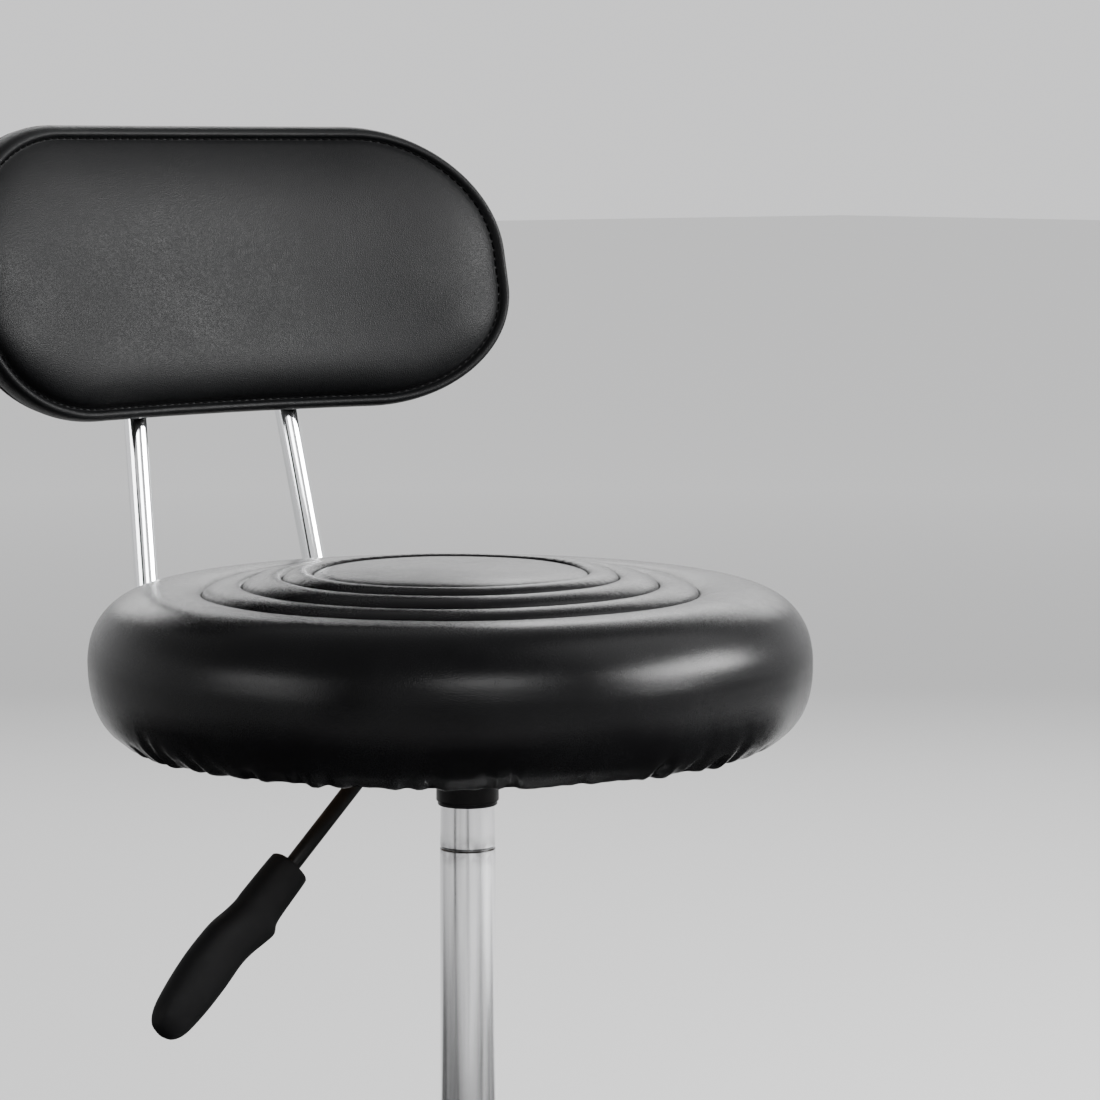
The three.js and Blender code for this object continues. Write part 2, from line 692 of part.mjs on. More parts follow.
// A ring of the backrest: its outline, inset and scaled about its middle, at a depth behind the edge line.
function backRing(inset, scale, depth) {
  const middle = (BACK_TOP + BACK_BOTTOM) / 2;
  return backOutline(inset).map(({ x, y }) => {
    const across = x * scale;
    const height = middle + (y - middle) * scale;
    const edge = ROD_BACK - BACK_BEFORE_RODS + height * ROD_LEAN - across ** 2 / (2 * BACK_CURVE_RADIUS);
    return new THREE.Vector3(across, edge + depth, SEAT_LINE + height);
  });
}

const FACE_SCALES = [0.3, 0.65, 0.88];

// Rings from the middle of a face out to its edge, crowned by rise over the edge's own depth.
function faceRings(inset, depth, rise) {
  return FACE_SCALES.map((scale) => backRing(inset, scale, depth + rise * (1 - scale ** 3)));
}

function addBackrest() {
  const inward = (rings) => [...rings].reverse();
  const front = { depth: -13, rise: -11 };
  const outerRings = [
    ...faceRings(0, front.depth, front.rise),
    backRing(5, 1, front.depth + 1),
    backRing(1, 1, -7),
    backRing(0, 1, 0),
    backRing(0.5, 1, 3),
  ];
  const innerRings = [
    ...faceRings(0, front.depth + VINYL, front.rise),
    backRing(6, 1, front.depth + 1 + VINYL),
    backRing(1 + VINYL, 1, -6.4),
    backRing(VINYL, 1, 0),
    backRing(0.5 + VINYL, 1, 3),
  ];
  add('backrest_cover_front', loft([...outerRings, ...inward(innerRings)]), backVinyl);
  const foamDepth = front.depth + VINYL + 1;
  const foamBack = -5.3;
  add('backrest_foam', loft([
    ...faceRings(0, foamDepth, front.rise),
    backRing(7.5, 1, foamDepth + 1.4),
    backRing(3.6, 1, -7.5),
    backRing(5, 1, foamBack),
    ...inward(faceRings(0, foamBack, 0)),
  ]), foam);
  const boardHalf = 4.5;
  add('backrest_board', loft([
    ...faceRings(0, -boardHalf, 0),
    backRing(5, 1, -boardHalf),
    backRing(5, 1, boardHalf),
    ...inward(faceRings(0, boardHalf, 0)),
  ]), plywood);
  const back = { depth: 18.8, rise: 3 };
  const shell = 1.4;
  const rearShell = loft([
    ...faceRings(0, back.depth, back.rise),
    backRing(9, 1, back.depth - 1.5),
    backRing(2.5, 1, 11),
    backRing(0.5, 1, 3 + GAP),
    backRing(0.5 + shell, 1, 3 + GAP),
    backRing(2.5 + shell, 1, 10.6),
    backRing(9.5, 1, back.depth - 1.5 - shell),
    ...inward(faceRings(0, back.depth - shell, back.rise)),
  ]);
  const rodHoles = [-1, 1].map((side) => {
    return bar([rodPoint(side, BACK_BOTTOM - 20), rodPoint(side, BACK_BOTTOM + 25)], ROD_RADIUS + 0.9, 12);
  });
  add('backrest_cover_rear', cut(rearShell, ...rodHoles), backVinyl);
  add('back_rod_right', bar(rodPath(-1), ROD_RADIUS, 12), chrome);
  add('back_rod_left', bar(rodPath(1), ROD_RADIUS, 12), chrome);
  add('rod_clamp_right', clampGeometry(-1), darkSteel);
  add('rod_clamp_left', clampGeometry(1), darkSteel);
}

addBase();
addColumn();
addPistonRod();
addGasCylinder();
addMountingPan();
addLever();
addSeat();
addBackrest();

export default stool;
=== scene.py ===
"""The looks of the rolling stylist stool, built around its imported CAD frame.

Shapes are written in millimetres in the CAD's frame, and make() turns them into metres.
Heights of the seat and the backrest are measured from the seat line, the outermost sewn groove.
"""

import json
import math

import bmesh
import bpy
import numpy as np
from mathutils import Matrix, Vector


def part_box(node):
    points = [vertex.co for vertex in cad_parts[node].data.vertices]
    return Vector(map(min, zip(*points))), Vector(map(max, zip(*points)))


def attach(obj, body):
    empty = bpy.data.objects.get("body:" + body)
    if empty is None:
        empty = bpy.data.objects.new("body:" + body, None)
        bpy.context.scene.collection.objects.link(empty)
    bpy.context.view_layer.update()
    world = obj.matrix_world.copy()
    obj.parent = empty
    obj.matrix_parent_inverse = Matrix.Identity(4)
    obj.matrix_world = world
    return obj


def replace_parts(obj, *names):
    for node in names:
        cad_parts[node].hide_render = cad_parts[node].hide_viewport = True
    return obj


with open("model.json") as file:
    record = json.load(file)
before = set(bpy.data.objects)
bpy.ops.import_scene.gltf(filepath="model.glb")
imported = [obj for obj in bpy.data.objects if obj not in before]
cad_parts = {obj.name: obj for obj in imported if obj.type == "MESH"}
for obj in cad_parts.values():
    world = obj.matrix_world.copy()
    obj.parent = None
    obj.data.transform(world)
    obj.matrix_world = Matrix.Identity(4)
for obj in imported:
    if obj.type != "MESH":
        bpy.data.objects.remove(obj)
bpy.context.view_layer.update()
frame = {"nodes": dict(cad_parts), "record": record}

TAU = 2 * math.pi


def box(node):
    """A CAD node's lowest and highest corners, in millimetres."""
    low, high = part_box(node)
    return low * 1000, high * 1000


def middle(node):
    low, high = box(node)
    return (low + high) / 2


BOARD_LOW, BOARD_HIGH = box("seat_board")
LINE_OVER_BOARD = 71.5  # from the board's underside up to the seat line
SEAT_LINE = BOARD_LOW.z + LINE_OVER_BOARD
SEAT_CENTRE = ((BOARD_LOW.x + BOARD_HIGH.x) / 2, (BOARD_LOW.y + BOARD_HIGH.y) / 2)
TUBE_RING = SEAT_LINE - 129  # the dark ring line round the gas cylinder


# ---- Camera, light and floor ----
CAMERA_HEADING = 38.8  # degrees from +Y towards +X
CAMERA_PAN = 1.33  # degrees that the camera looks past the stool's axis
CAMERA_PITCH = 6.32  # degrees that it looks down
CAMERA_DISTANCE = 1.781  # metres from the stool's axis
CAMERA_HEIGHT = 0.7743  # metres over the floor
LIT_HEIGHT = 0.55  # metres over the floor, where the soft lights point


def way(heading, rise):
    """A direction from its heading, from +Y towards +X, and its rise over level, in radians."""
    level = math.cos(rise)
    return Vector((math.sin(heading) * level, math.cos(heading) * level, math.sin(rise)))


def way_out(azimuth, elevation):
    """A direction away from the stool, in degrees. Azimuth 0 is the camera's side and 90 is on its right."""
    return way(math.radians(CAMERA_HEADING + 180 - azimuth), math.radians(elevation))


def put(name, data):
    added = bpy.data.objects.new(name, data)
    bpy.context.scene.collection.objects.link(added)
    return added


def aim(thing, direction):
    """Turns a camera or a light to look in a direction."""
    thing.rotation_mode = "QUATERNION"
    thing.rotation_quaternion = direction.to_track_quat("-Z", "Y")


def add_camera():
    heading, pan, pitch = (math.radians(a) for a in (CAMERA_HEADING, CAMERA_PAN, CAMERA_PITCH))
    back = -CAMERA_DISTANCE
    data = bpy.data.cameras.new("camera")
    data.sensor_width = 36
    data.lens = 117.82
    camera = put("camera", data)
    camera.location = (back * math.sin(heading), back * math.cos(heading), CAMERA_HEIGHT)
    aim(camera, way(heading + pan, -pitch))
    bpy.context.scene.camera = camera


def add_softbox(name, azimuth, elevation, distance, size, power):
    """A soft light round the seat, at a distance in metres."""
    data = bpy.data.lights.new(name, "AREA")
    data.shape = "RECTANGLE"
    data.size, data.size_y = size
    data.energy = power
    away = way_out(azimuth, elevation)
    light = put(name, data)
    light.location = Vector((0, 0, LIT_HEIGHT)) + away * distance
    aim(light, -away)


def add_key_light():
    """A broad light high on the camera's right, which evens out the floor."""
    data = bpy.data.lights.new("key_light", "SUN")
    data.energy = 1.3
    data.angle = math.radians(50)
    aim(put("key_light", data), -way_out(100, 48))


def add_world():
    """A studio that is bright low down all round, and darker overhead."""
    shades = [(0.0, 0.8), (0.5, 1.0), (0.64, 1.0), (0.74, 0.5), (1.0, 0.35)]  # from the nadir up
    world = bpy.data.worlds.new("studio")
    bpy.context.scene.world = world
    world.use_nodes = True
    nodes, links = world.node_tree.nodes, world.node_tree.links
    background = nodes["Background"]
    direction = nodes.new("ShaderNodeTexCoord")
    height = nodes.new("ShaderNodeSeparateXYZ")
    spread = nodes.new("ShaderNodeMapRange")
    spread.inputs["From Min"].default_value = -1
    ramp = nodes.new("ShaderNodeValToRGB")
    ramp.color_ramp.elements.remove(ramp.color_ramp.elements[0])
    for i, (place, shade) in enumerate(shades):
        element = ramp.color_ramp.elements[0] if i == 0 else ramp.color_ramp.elements.new(place)
        element.position = place
        element.color = (shade, shade, shade * 1.01, 1)
    links.new(direction.outputs["Generated"], height.inputs[0])
    links.new(height.outputs["Z"], spread.inputs["Value"])
    links.new(spread.outputs["Result"], ramp.inputs[0])
    links.new(ramp.outputs["Color"], background.inputs["Color"])


def add_flag(name, azimuth, near, far, width):
    """A dark cloth that only shiny surfaces see, from one (distance, height) to another in metres."""
    away = way_out(azimuth, 0)
    across = Vector((away.y, -away.x, 0)) * width / 2
    low, high = (away * distance + Vector((0, 0, height)) for distance, height in (near, far))
    mesh = bpy.data.meshes.new(name)
    corners = [low - across, low + across, high + across, high - across]
    mesh.from_pydata([tuple(c) for c in corners], [], [(0, 1, 2, 3)])
    mesh.materials.append(Look(name, (0.01, 0.01, 0.01), 0.95).material)
    flag = put(name, mesh)
    flag.visible_camera = flag.visible_diffuse = flag.visible_shadow = False


def add_floor():
    half = 30  # metres
    mesh = bpy.data.meshes.new("floor")
    corners = [(-half, -half, 0), (half, -half, 0), (half, half, 0), (-half, half, 0)]
    mesh.from_pydata(corners, [], [(0, 1, 2, 3)])
    mesh.materials.append(floor_with_painted_light())
    put("floor", mesh)


# ---- Materials ----
class Look:
    """A node material in the making, with its texture coordinates in metres on the object."""

    def __init__(self, name, color, roughness, metallic=0.0, **sockets):
        self.material = bpy.data.materials.new(name)
        self.material.use_nodes = True
        self.tree = self.material.node_tree
        self.shader = self.tree.nodes["Principled BSDF"]
        self.color = color
        self.shader.inputs["Base Color"].default_value = (*color, 1)
        self.shader.inputs["Roughness"].default_value = roughness
        self.shader.inputs["Metallic"].default_value = metallic
        for socket, value in sockets.items():
            self.shader.inputs[socket.replace("_", " ")].default_value = value
        self.place = self.tree.nodes.new("ShaderNodeTexCoord").outputs["Object"]
        self.normal = None

    def node(self, kind, inputs=(), **settings):
        made = self.tree.nodes.new(kind)
        for key, value in settings.items():
            setattr(made, key, value)
        for key, value in dict(inputs).items():
            if isinstance(value, bpy.types.NodeSocket):
                self.tree.links.new(value, made.inputs[key])
            else:
                made.inputs[key].default_value = value
        return made

    def stretched(self, scale):
        return self.node("ShaderNodeMapping", {"Vector": self.place, "Scale": scale}).outputs[0]

    def noise(self, size, detail=3.0, roughness=0.5, place=None):
        """Noise from 0 to 1 with features about size millimetres across."""
        inputs = {"Vector": place or self.place, "Scale": 1000 / size}
        inputs |= {"Detail": detail, "Roughness": roughness}
        return self.node("ShaderNodeTexNoise", inputs).outputs["Fac"]

    def cells(self, size, feature="F1", place=None):
        inputs = {"Vector": place or self.place, "Scale": 1000 / size}
        return self.node("ShaderNodeTexVoronoi", inputs, feature=feature).outputs["Distance"]

    def span(self, value, low, high, to_low, to_high):
        """Maps low to high onto to_low to to_high."""
        inputs = {"Value": value, "From Min": low, "From Max": high, "To Min": to_low, "To Max": to_high}
        return self.node("ShaderNodeMapRange", inputs).outputs["Result"]

    def math(self, operation, a, b=0.0):
        return self.node("ShaderNodeMath", {0: a, 1: b}, operation=operation).outputs[0]

    def tint(self, factor, color):
        """Mixes the base colour towards another by a factor."""
        mix = self.node("ShaderNodeMix", {0: factor}, data_type="RGBA")
        before = self.shader.inputs["Base Color"]
        if before.is_linked:
            self.tree.links.new(before.links[0].from_socket, mix.inputs["A"])
        else:
            mix.inputs["A"].default_value = (*self.color, 1)
        mix.inputs["B"].default_value = (*color, 1)
        self.tree.links.new(mix.outputs["Result"], before)
        return self

    def rough(self, value):
        self.tree.links.new(value, self.shader.inputs["Roughness"])
        return self

    def bump(self, height, distance, strength=1.0):
        """Raises the surface by up to distance millimetres."""
        inputs = {"Height": height, "Distance": distance / 1000, "Strength": strength}
        if self.normal:
            inputs["Normal"] = self.normal
        self.normal = self.node("ShaderNodeBump", inputs).outputs["Normal"]
        self.tree.links.new(self.normal, self.shader.inputs["Normal"])
        return self


def floor_with_painted_light():
    """Pale near the stool, and painted lighter far away, where it meets the sky: painted light that evens
    out the softbox light falling near the stool.
    """
    look = Look("studio_floor", (0.62, 0.62, 0.62), 0.85)
    away = look.node("ShaderNodeVectorMath", {0: look.place}, operation="LENGTH").outputs["Value"]
    # Painted light: the floor's colour lightens from 3.4 to 6.5 metres out, standing in for light on the far
    # floor.
    look.tint(look.span(away, 3.4, 6.5, 0, 1), (0.93, 0.93, 0.93))
    return look.material


def vinyl(name, color, worn, grain, height, roughness, shine):
    """Coated upholstery cloth with a fine leather grain, grain millimetres across and height deep."""
    look = Look(name, color, roughness, Specular_IOR_Level=shine)
    creases = look.cells(grain, "DISTANCE_TO_EDGE")
    pores = look.noise(grain * 0.45, 4.0, 0.6)
    hand = look.noise(38, 4.0)
    grain_height = look.math("ADD", look.span(creases, 0, 0.35, 0, 0.7), look.math("MULTIPLY", pores, 0.6))
    look.tint(look.span(hand, 0.35, 0.75, 0, 0.8), worn)
    look.rough(look.math("ADD", look.span(hand, 0.3, 0.7, roughness - 0.03, roughness + 0.03),
                         look.span(pores, 0.3, 0.7, 0.03, -0.03)))
    look.bump(look.noise(9, 2.0), height, 0.6)
    look.bump(grain_height, height, 0.9)
    return look.material


def chrome_plate():
    look = Look("chrome_plate", (0.82, 0.83, 0.84), 0.07, 1.0)
    smears = look.noise(26, 4.0)
    look.rough(look.span(smears, 0.3, 0.8, 0.05, 0.13))
    look.tint(look.span(look.noise(60), 0.45, 0.7, 0, 0.5), (0.76, 0.77, 0.79))
    look.bump(look.noise(14, 2.0), 0.02, 0.5)
    return look.material


def satin_tube():
    """The gas cylinder: ground and plated, with faint streaks along it and a dark, grimy ring line."""
    look = Look("satin_tube", (0.80, 0.80, 0.81), 0.2, 1.0)
    streaks = look.noise(1.6, 3.0, place=look.stretched((1, 1, 0.02)))
    look.rough(look.span(streaks, 0.3, 0.7, 0.16, 0.26))
    patches = look.noise(5, 3.0, place=look.stretched((1, 1, 0.05)))
    look.tint(look.span(patches, 0.4, 0.75, 0, 0.6), (0.66, 0.66, 0.68))
    height = look.node("ShaderNodeSeparateXYZ", {0: look.place}).outputs["Z"]
    away = look.math("ABSOLUTE", look.math("SUBTRACT", height, TUBE_RING / 1000))
    near = look.span(away, 0.0008, 0.009, 1, 0)
    grime = look.math("MULTIPLY", near, look.span(look.noise(7, 4.0), 0.38, 0.6, 0, 0.75))
    look.tint(grime, (0.2, 0.2, 0.2))
    look.tint(look.span(away, 0.0004, 0.0009, 0.92, 0), (0.02, 0.02, 0.02))
    return look.material


def coated_steel():
    look = Look("black_coated_steel", (0.002, 0.002, 0.0022), 0.4, Specular_IOR_Level=0.13)
    look.rough(look.span(look.noise(22, 4.0), 0.3, 0.75, 0.34, 0.5))
    look.tint(look.span(look.noise(3, 4.0), 0.6, 0.8, 0, 0.5), (0.006, 0.006, 0.0065))
    look.bump(look.noise(1.4, 2.0), 0.03, 0.7)
    return look.material


def bright_steel():
    look = Look("zinc_steel", (0.56, 0.57, 0.58), 0.34, 1.0)
    look.rough(look.span(look.noise(6, 4.0), 0.3, 0.7, 0.26, 0.44))
    look.tint(look.span(look.cells(4), 0.1, 0.6, 0, 0.5), (0.46, 0.47, 0.5))
    return look.material


def moulded(name, color, roughness, texture=0.7, shine=0.5):
    """Moulded plastic or rubber with a fine spark-eroded texture."""
    look = Look(name, color, roughness, Specular_IOR_Level=shine)
    look.rough(look.span(look.noise(17, 4.0), 0.3, 0.75, roughness - 0.06, roughness + 0.1))
    look.tint(look.span(look.noise(4.5, 5.0), 0.55, 0.8, 0, 0.5), tuple(c * 1.8 + 0.001 for c in color))
    look.bump(look.noise(texture, 2.0), 0.05, 0.5)
    return look.material


def plywood():
    look = Look("birch_plywood", (0.40, 0.29, 0.175), 0.62)
    grain = look.noise(9, 6.0, 0.65, look.stretched((1, 0.06, 1)))
    look.tint(look.span(grain, 0.35, 0.7, 0, 0.9), (0.36, 0.22, 0.11))
    plies = look.node("ShaderNodeTexWave", {"Vector": look.place, "Scale": 105.0, "Distortion": 0.4},
                      bands_direction="Z").outputs["Fac"]
    look.tint(look.span(plies, 0.45, 0.7, 0, 0.25), (0.24, 0.14, 0.07))
    look.bump(grain, 0.15, 0.6)
    return look.material


def foam():
    look = Look("cushion_foam", (0.75, 0.68, 0.44), 0.95)
    look.tint(look.span(look.noise(12), 0.3, 0.7, 0, 0.5), (0.62, 0.54, 0.32))
    look.bump(look.cells(1.6), 0.5, 0.8)
    return look.material


LOOKS = {
    "seat_vinyl": vinyl("seat_vinyl", (0.0016, 0.0016, 0.0018), (0.003, 0.003, 0.0033),
                        grain=1.1, height=0.05, roughness=0.26, shine=0.13),
    "back_vinyl": vinyl("back_vinyl", (0.0016, 0.0017, 0.0019), (0.0022, 0.0023, 0.0026),
                        grain=0.9, height=0.12, roughness=0.44, shine=0.1),
    "chrome": chrome_plate(),
    "steel": bright_steel(),
    "black_steel": coated_steel(),
    "black_nylon": moulded("black_nylon", (0.012, 0.012, 0.013), 0.42),
    "wheel_tread": moulded("wheel_tread", (0.028, 0.028, 0.030), 0.6, texture=1.2),
    "grip": moulded("grip_rubber", (0.002, 0.002, 0.0022), 0.6, texture=0.5, shine=0.08),
    "foam": foam(),
    "plywood": plywood(),
    "tube": satin_tube(),
    "thread": moulded("black_thread", (0.0015, 0.0015, 0.0016), 0.9, texture=0.4, shine=0.03),
}


# ---- Meshes ----
def make(name, points, faces, body=None, slot=None, look=None,
         place=Matrix.Identity(4), crisp=True, merged=True):
    """A piece from points in millimetres, with its doubled points merged and its faces turned outwards."""
    mesh = bpy.data.meshes.new(name)
    shape = bmesh.new()
    corners = [shape.verts.new(Vector(p) / 1000) for p in points]
    for face in faces:
        shape.faces.new([corners[i] for i in face])
    if merged:
        bmesh.ops.remove_doubles(shape, verts=shape.verts, dist=2e-6)
    bmesh.ops.recalc_face_normals(shape, faces=shape.faces)
    shape.to_mesh(mesh)
    shape.free()
    mesh.shade_smooth()
    piece = put(name, mesh)
    if body is None:
        return piece
    mesh.materials.append(look or LOOKS[slot])
    piece.matrix_world = place
    if crisp:
        mesh.set_sharp_from_angle(angle=math.radians(42))
        piece.modifiers.new("even_shading", "WEIGHTED_NORMAL").keep_sharp = True
    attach(piece, body)
    return piece


def moved(x, y, z, turn=0.0):
    """A place in millimetres, turned about the vertical by an angle in radians."""
    return Matrix.Translation(Vector((x, y, z)) / 1000) @ Matrix.Rotation(turn, 4, "Z")


def skin(rings, around):
    """Quads over rings that each hold the same number of points."""
    faces = []
    for ring in range(rings - 1):
        for i in range(around):
            a, b = ring * around + i, ring * around + (i + 1) % around
            faces.append((a, b, b + around, a + around))
    return faces


def capped(rings):
    """Points and faces of a solid through rings of points, closed at both ends."""
    around = len(rings[0])
    points = [tuple(p) for ring in rings for p in ring]
    faces = skin(len(rings), around)
    for first in (0, (len(rings) - 1) * around):
        points.append(tuple(np.mean([points[first + i] for i in range(around)], axis=0)))
        faces += [(first + i, first + (i + 1) % around, len(points) - 1) for i in range(around)]
    return points, faces


def joined(shapes):
    """The points and faces of several shapes as one."""
    points, faces = [], []
    for more, skins in shapes:
        faces += [tuple(k + len(points) for k in face) for face in skins]
        points += more
    return points, faces


def circle(x, y, radius, height, around):
    """A level ring of points round an upright axis."""
    angles = np.linspace(0, TAU, around, endpoint=False)
    return [(x + radius * math.cos(a), y + radius * math.sin(a), height) for a in angles]


def rounded(corners, radius, steps=4):
    """An open line of corners with each inner corner rounded, or as much of it as fits."""
    almost_straight = 1.55  # half of a corner's angle
    longest = 0.45  # of a side
    line = [np.array(corners[0], float)]
    for before, corner, after in zip(corners, corners[1:], corners[2:]):
        corner = np.array(corner, float)
        back, on = np.array(before) - corner, np.array(after) - corner
        lengths = np.linalg.norm(back), np.linalg.norm(on)
        back, on = back / lengths[0], on / lengths[1]
        half = math.acos(np.clip(back @ on, -1, 1)) / 2
        if half > almost_straight:
            line.append(corner)
            continue
        reach = min(radius / math.tan(half), longest * lengths[0], longest * lengths[1])
        start, end = corner + back * reach, corner + on * reach
        for step in range(steps + 1):
            t = step / steps
            line.append((1 - t) ** 2 * start + 2 * t * (1 - t) * corner + t * t * end)
    line.append(np.array(corners[-1], float))
    return line


def turned(profile, around, axis="Z"):
    """Points and faces of a line of (radius, height) points turned about an axis."""
    angles = [TAU * i / around for i in range(around)]
    if axis == "Z":
        points = [(r * math.cos(a), r * math.sin(a), h) for r, h in profile for a in angles]
    else:
        points = [(r * math.cos(a), h, r * math.sin(a)) for r, h in profile for a in angles]
    return points, skin(len(profile), around)


def smooth_line(points, spacing):
    """A smooth curve through points, as evenly spaced points."""
    points = np.array(points, float)
    ends = np.vstack([2 * points[0] - points[1], points, 2 * points[-1] - points[-2]])
    dense = []
    for a, b, c, d in zip(ends, ends[1:], ends[2:], ends[3:]):
        for t in np.linspace(0, 1, 12, endpoint=False):
            dense.append(0.5 * (2 * b + (c - a) * t + (2 * a - 5 * b + 4 * c - d) * t**2
                                + (3 * b - a - 3 * c + d) * t**3))
    dense.append(points[-1])
    dense = np.array(dense)
    run = np.concatenate([[0], np.cumsum(np.linalg.norm(np.diff(dense, axis=0), axis=1))])
    places = np.linspace(0, run[-1], max(2, round(run[-1] / spacing) + 1))
    return np.column_stack([np.interp(places, run, dense[:, k]) for k in range(dense.shape[1])])


def swept(path, radius, around, lip=0.0):
    """A round bar along a path, with its ends rounded off by lip millimetres."""
    path = [np.array(p, float) for p in path]
    radii = [radius] * len(path)
    if lip:
        starts, ends = [], []
        first = (path[1] - path[0]) / np.linalg.norm(path[1] - path[0])
        last = (path[-1] - path[-2]) / np.linalg.norm(path[-1] - path[-2])
        for turn in (0, 0.25, 0.5, 0.75):
            inset = lip * (1 - math.sin(turn * math.pi / 2))
            reach = lip * (1 - math.cos(turn * math.pi / 2))
            starts.append((path[0] + first * reach, radius - inset))
            ends.append((path[-1] - last * reach, radius - inset))
        body = [(p, radius) for p in path[1:-1]]
        body = [(path[0] + first * lip, radius), *body, (path[-1] - last * lip, radius)]
        run = [*starts, *body, *reversed(ends)]
        path, radii = [p for p, _ in run], [r for _, r in run]
    side = np.array((0.0, 1.0, 0.0))
    rings = []
    for i, point in enumerate(path):
        along = path[min(i + 1, len(path) - 1)] - path[max(i - 1, 0)]
        along = along / np.linalg.norm(along)
        if abs(along @ side) > 0.9:
            side = np.array((1.0, 0.0, 0.0))
        side = side - along * (along @ side)
        side = side / np.linalg.norm(side)
        up = np.cross(along, side)
        angles = np.arange(around) * TAU / around
        rings.append([point + radii[i] * (math.cos(a) * side + math.sin(a) * up) for a in angles])
    return capped(rings)


def smooth_step(value):
    value = np.clip(value, 0, 1)
    return value * value * (3 - 2 * value)


def waves(angle, counts, seed):
    """A gentle wobble round a circle, about -1 to 1, with the given numbers of waves."""
    chance = np.random.default_rng(seed)
    total = sum(chance.uniform(0.5, 1) * np.sin(n * angle + chance.uniform(0, TAU)) for n in counts)
    return total / math.sqrt(len(counts))


# ---- Cloth ----
CLOTH = {
    "quality": 5, "mass": 0.4, "tension_stiffness": 20, "compression_stiffness": 20, "shear_stiffness": 8,
    "bending_stiffness": 0.6, "use_pressure": True, "vertex_group_mass": "held",
}
CLOTH_FRAMES = 20
HEM_SLACK = 0.07  # how much larger the cover is cut where it is gathered


def simulate(piece, held, gathered=None, pressure=4.0):
    """How far each point of a closed cover moves, in millimetres, when its foam pushes it out."""
    scene = bpy.context.scene
    pins = piece.vertex_groups.new(name="held")
    pins.add([int(i) for i in np.flatnonzero(held)], 1.0, "REPLACE")
    cloth = piece.modifiers.new("swell", "CLOTH")
    settings = cloth.settings
    for setting, value in CLOTH.items():
        setattr(settings, setting, value)
    settings.uniform_pressure_force = pressure
    settings.effector_weights.gravity = 0
    cloth.collision_settings.use_collision = False
    cloth.collision_settings.use_self_collision = False
    if gathered is not None:
        slack = piece.vertex_groups.new(name="gathered")
        for i in np.flatnonzero(gathered > 0.01):
            slack.add([int(i)], float(gathered[i]), "REPLACE")
        settings.vertex_group_shrink = "gathered"
        settings.shrink_min = 0.0
        settings.shrink_max = -HEM_SLACK
    cloth.point_cache.frame_start, cloth.point_cache.frame_end = 1, CLOTH_FRAMES
    for step in range(1, CLOTH_FRAMES + 1):
        scene.frame_set(step)
    swollen = piece.evaluated_get(bpy.context.evaluated_depsgraph_get())
    count = len(piece.data.vertices)
    after, before = np.empty(3 * count), np.empty(3 * count)
    swollen.data.vertices.foreach_get("co", after)
    piece.data.vertices.foreach_get("co", before)
    piece.modifiers.remove(cloth)
    scene.frame_set(1)
    piece.vertex_groups.clear()
    return (after - before).reshape(-1, 3) * 1000


def finer(grid):
    """A closed-round grid of points with a smooth new point between every two."""
    ahead, behind, beyond = np.roll(grid, -1, 1), np.roll(grid, 1, 1), np.roll(grid, -2, 1)
    between = (9 * (grid + ahead) - behind - beyond) / 16
    grid = np.stack([grid, between], 2).reshape(len(grid), -1, 3)
    padded = np.concatenate([grid[:1], grid, grid[-1:]])
    between = (9 * (padded[1:-2] + padded[2:-1]) - padded[:-3] - padded[3:]) / 16
    rows = np.empty((2 * len(grid) - 1, *grid.shape[1:]))
    rows[::2], rows[1::2] = grid, between
    return rows


# ---- Seat cushion ----
DOME = 11.0  # height of the cushion's middle
DOME_EDGE = (51, 10.6)  # (radius, height) where it turns down to the first sewn circle
GROOVES = [(69.0, 7.0), (84.3, 4.6), (104.3, 0.8), (124.3, -2.6)]  # (radius, height) of the sewn circles
CRESTS = [10.0, 7.5, 3.8]  # heights of the rolls between them
SIDE = [
    (138, 1.8), (145, 1.75), (153.8, 0.9), (162.4, -1.9), (169.6, -6.5), (175.2, -12.7), (179.1, -20.3),
    (181, -29.3), (181.3, -36), (181.1, -42.6), (180.4, -48), (179.4, -52.7), (177.9, -56.9), (176.1, -60.6),
    (173.8, -63.9), (171.2, -66.6), (168.1, -69), (164.9, -71.4), (161, -72.8), (152, -73),
]
HEM_IN = 141.0  # radius of the edge under the board
HEM_LOW = -73.1
UNDER_BOARD, OVER_BOARD = -71.8, -59.1  # heights of the cover's inside
ABOUT_LAST_GROOVE = 124  # radius
STITCH = 6.5  # length of a stitch
AROUND = 204  # points round the cover before it is made finer
LARGEST_SWELL = 2.2
TUCKS = 58
TUCK_TOP, TUCK_DROP = -43, 30  # height where the tucks run out, and how far below it the hem is


def seat_profile():
    """The cushion's (radius, height) points from its middle to its hem, and which rows are sewn down."""
    line = [(r, DOME - 0.4 * (r / 52) ** 2) for r in np.linspace(0, 50, 15)]
    (r0, h0), (r1, h1) = DOME_EDGE, GROOVES[0]
    for turn in np.linspace(0.15, math.pi / 2, 10):
        line.append((r0 + (r1 - r0) * math.sin(turn), h1 + (h0 - h1) * math.cos(turn)))
    sewn = [len(line) - 1]
    for (r0, h0), (r1, h1), crest in zip(GROOVES, GROOVES[1:], CRESTS):
        for turn in np.linspace(0, math.pi, 15)[1:]:
            t = (1 - math.cos(turn)) / 2
            swell = (crest - (h0 + h1) / 2) * math.sin(turn) ** 0.9
            line.append((r0 + (r1 - r0) * t, h0 + (h1 - h0) * t + swell))
        sewn.append(len(line) - 1)
    (r0, h0), (r1, h1) = GROOVES[-1], SIDE[0]
    for turn in np.linspace(0, math.pi / 2, 9)[1:]:
        line.append((r0 + (r1 - r0) * (1 - math.cos(turn)), h0 + (h1 - h0) * math.sin(turn)))
    line += [tuple(p) for p in smooth_line(SIDE, 3.0)[1:]]
    line += [(r, HEM_LOW) for r in (148.5, 145, HEM_IN)]
    return np.array(line), sewn


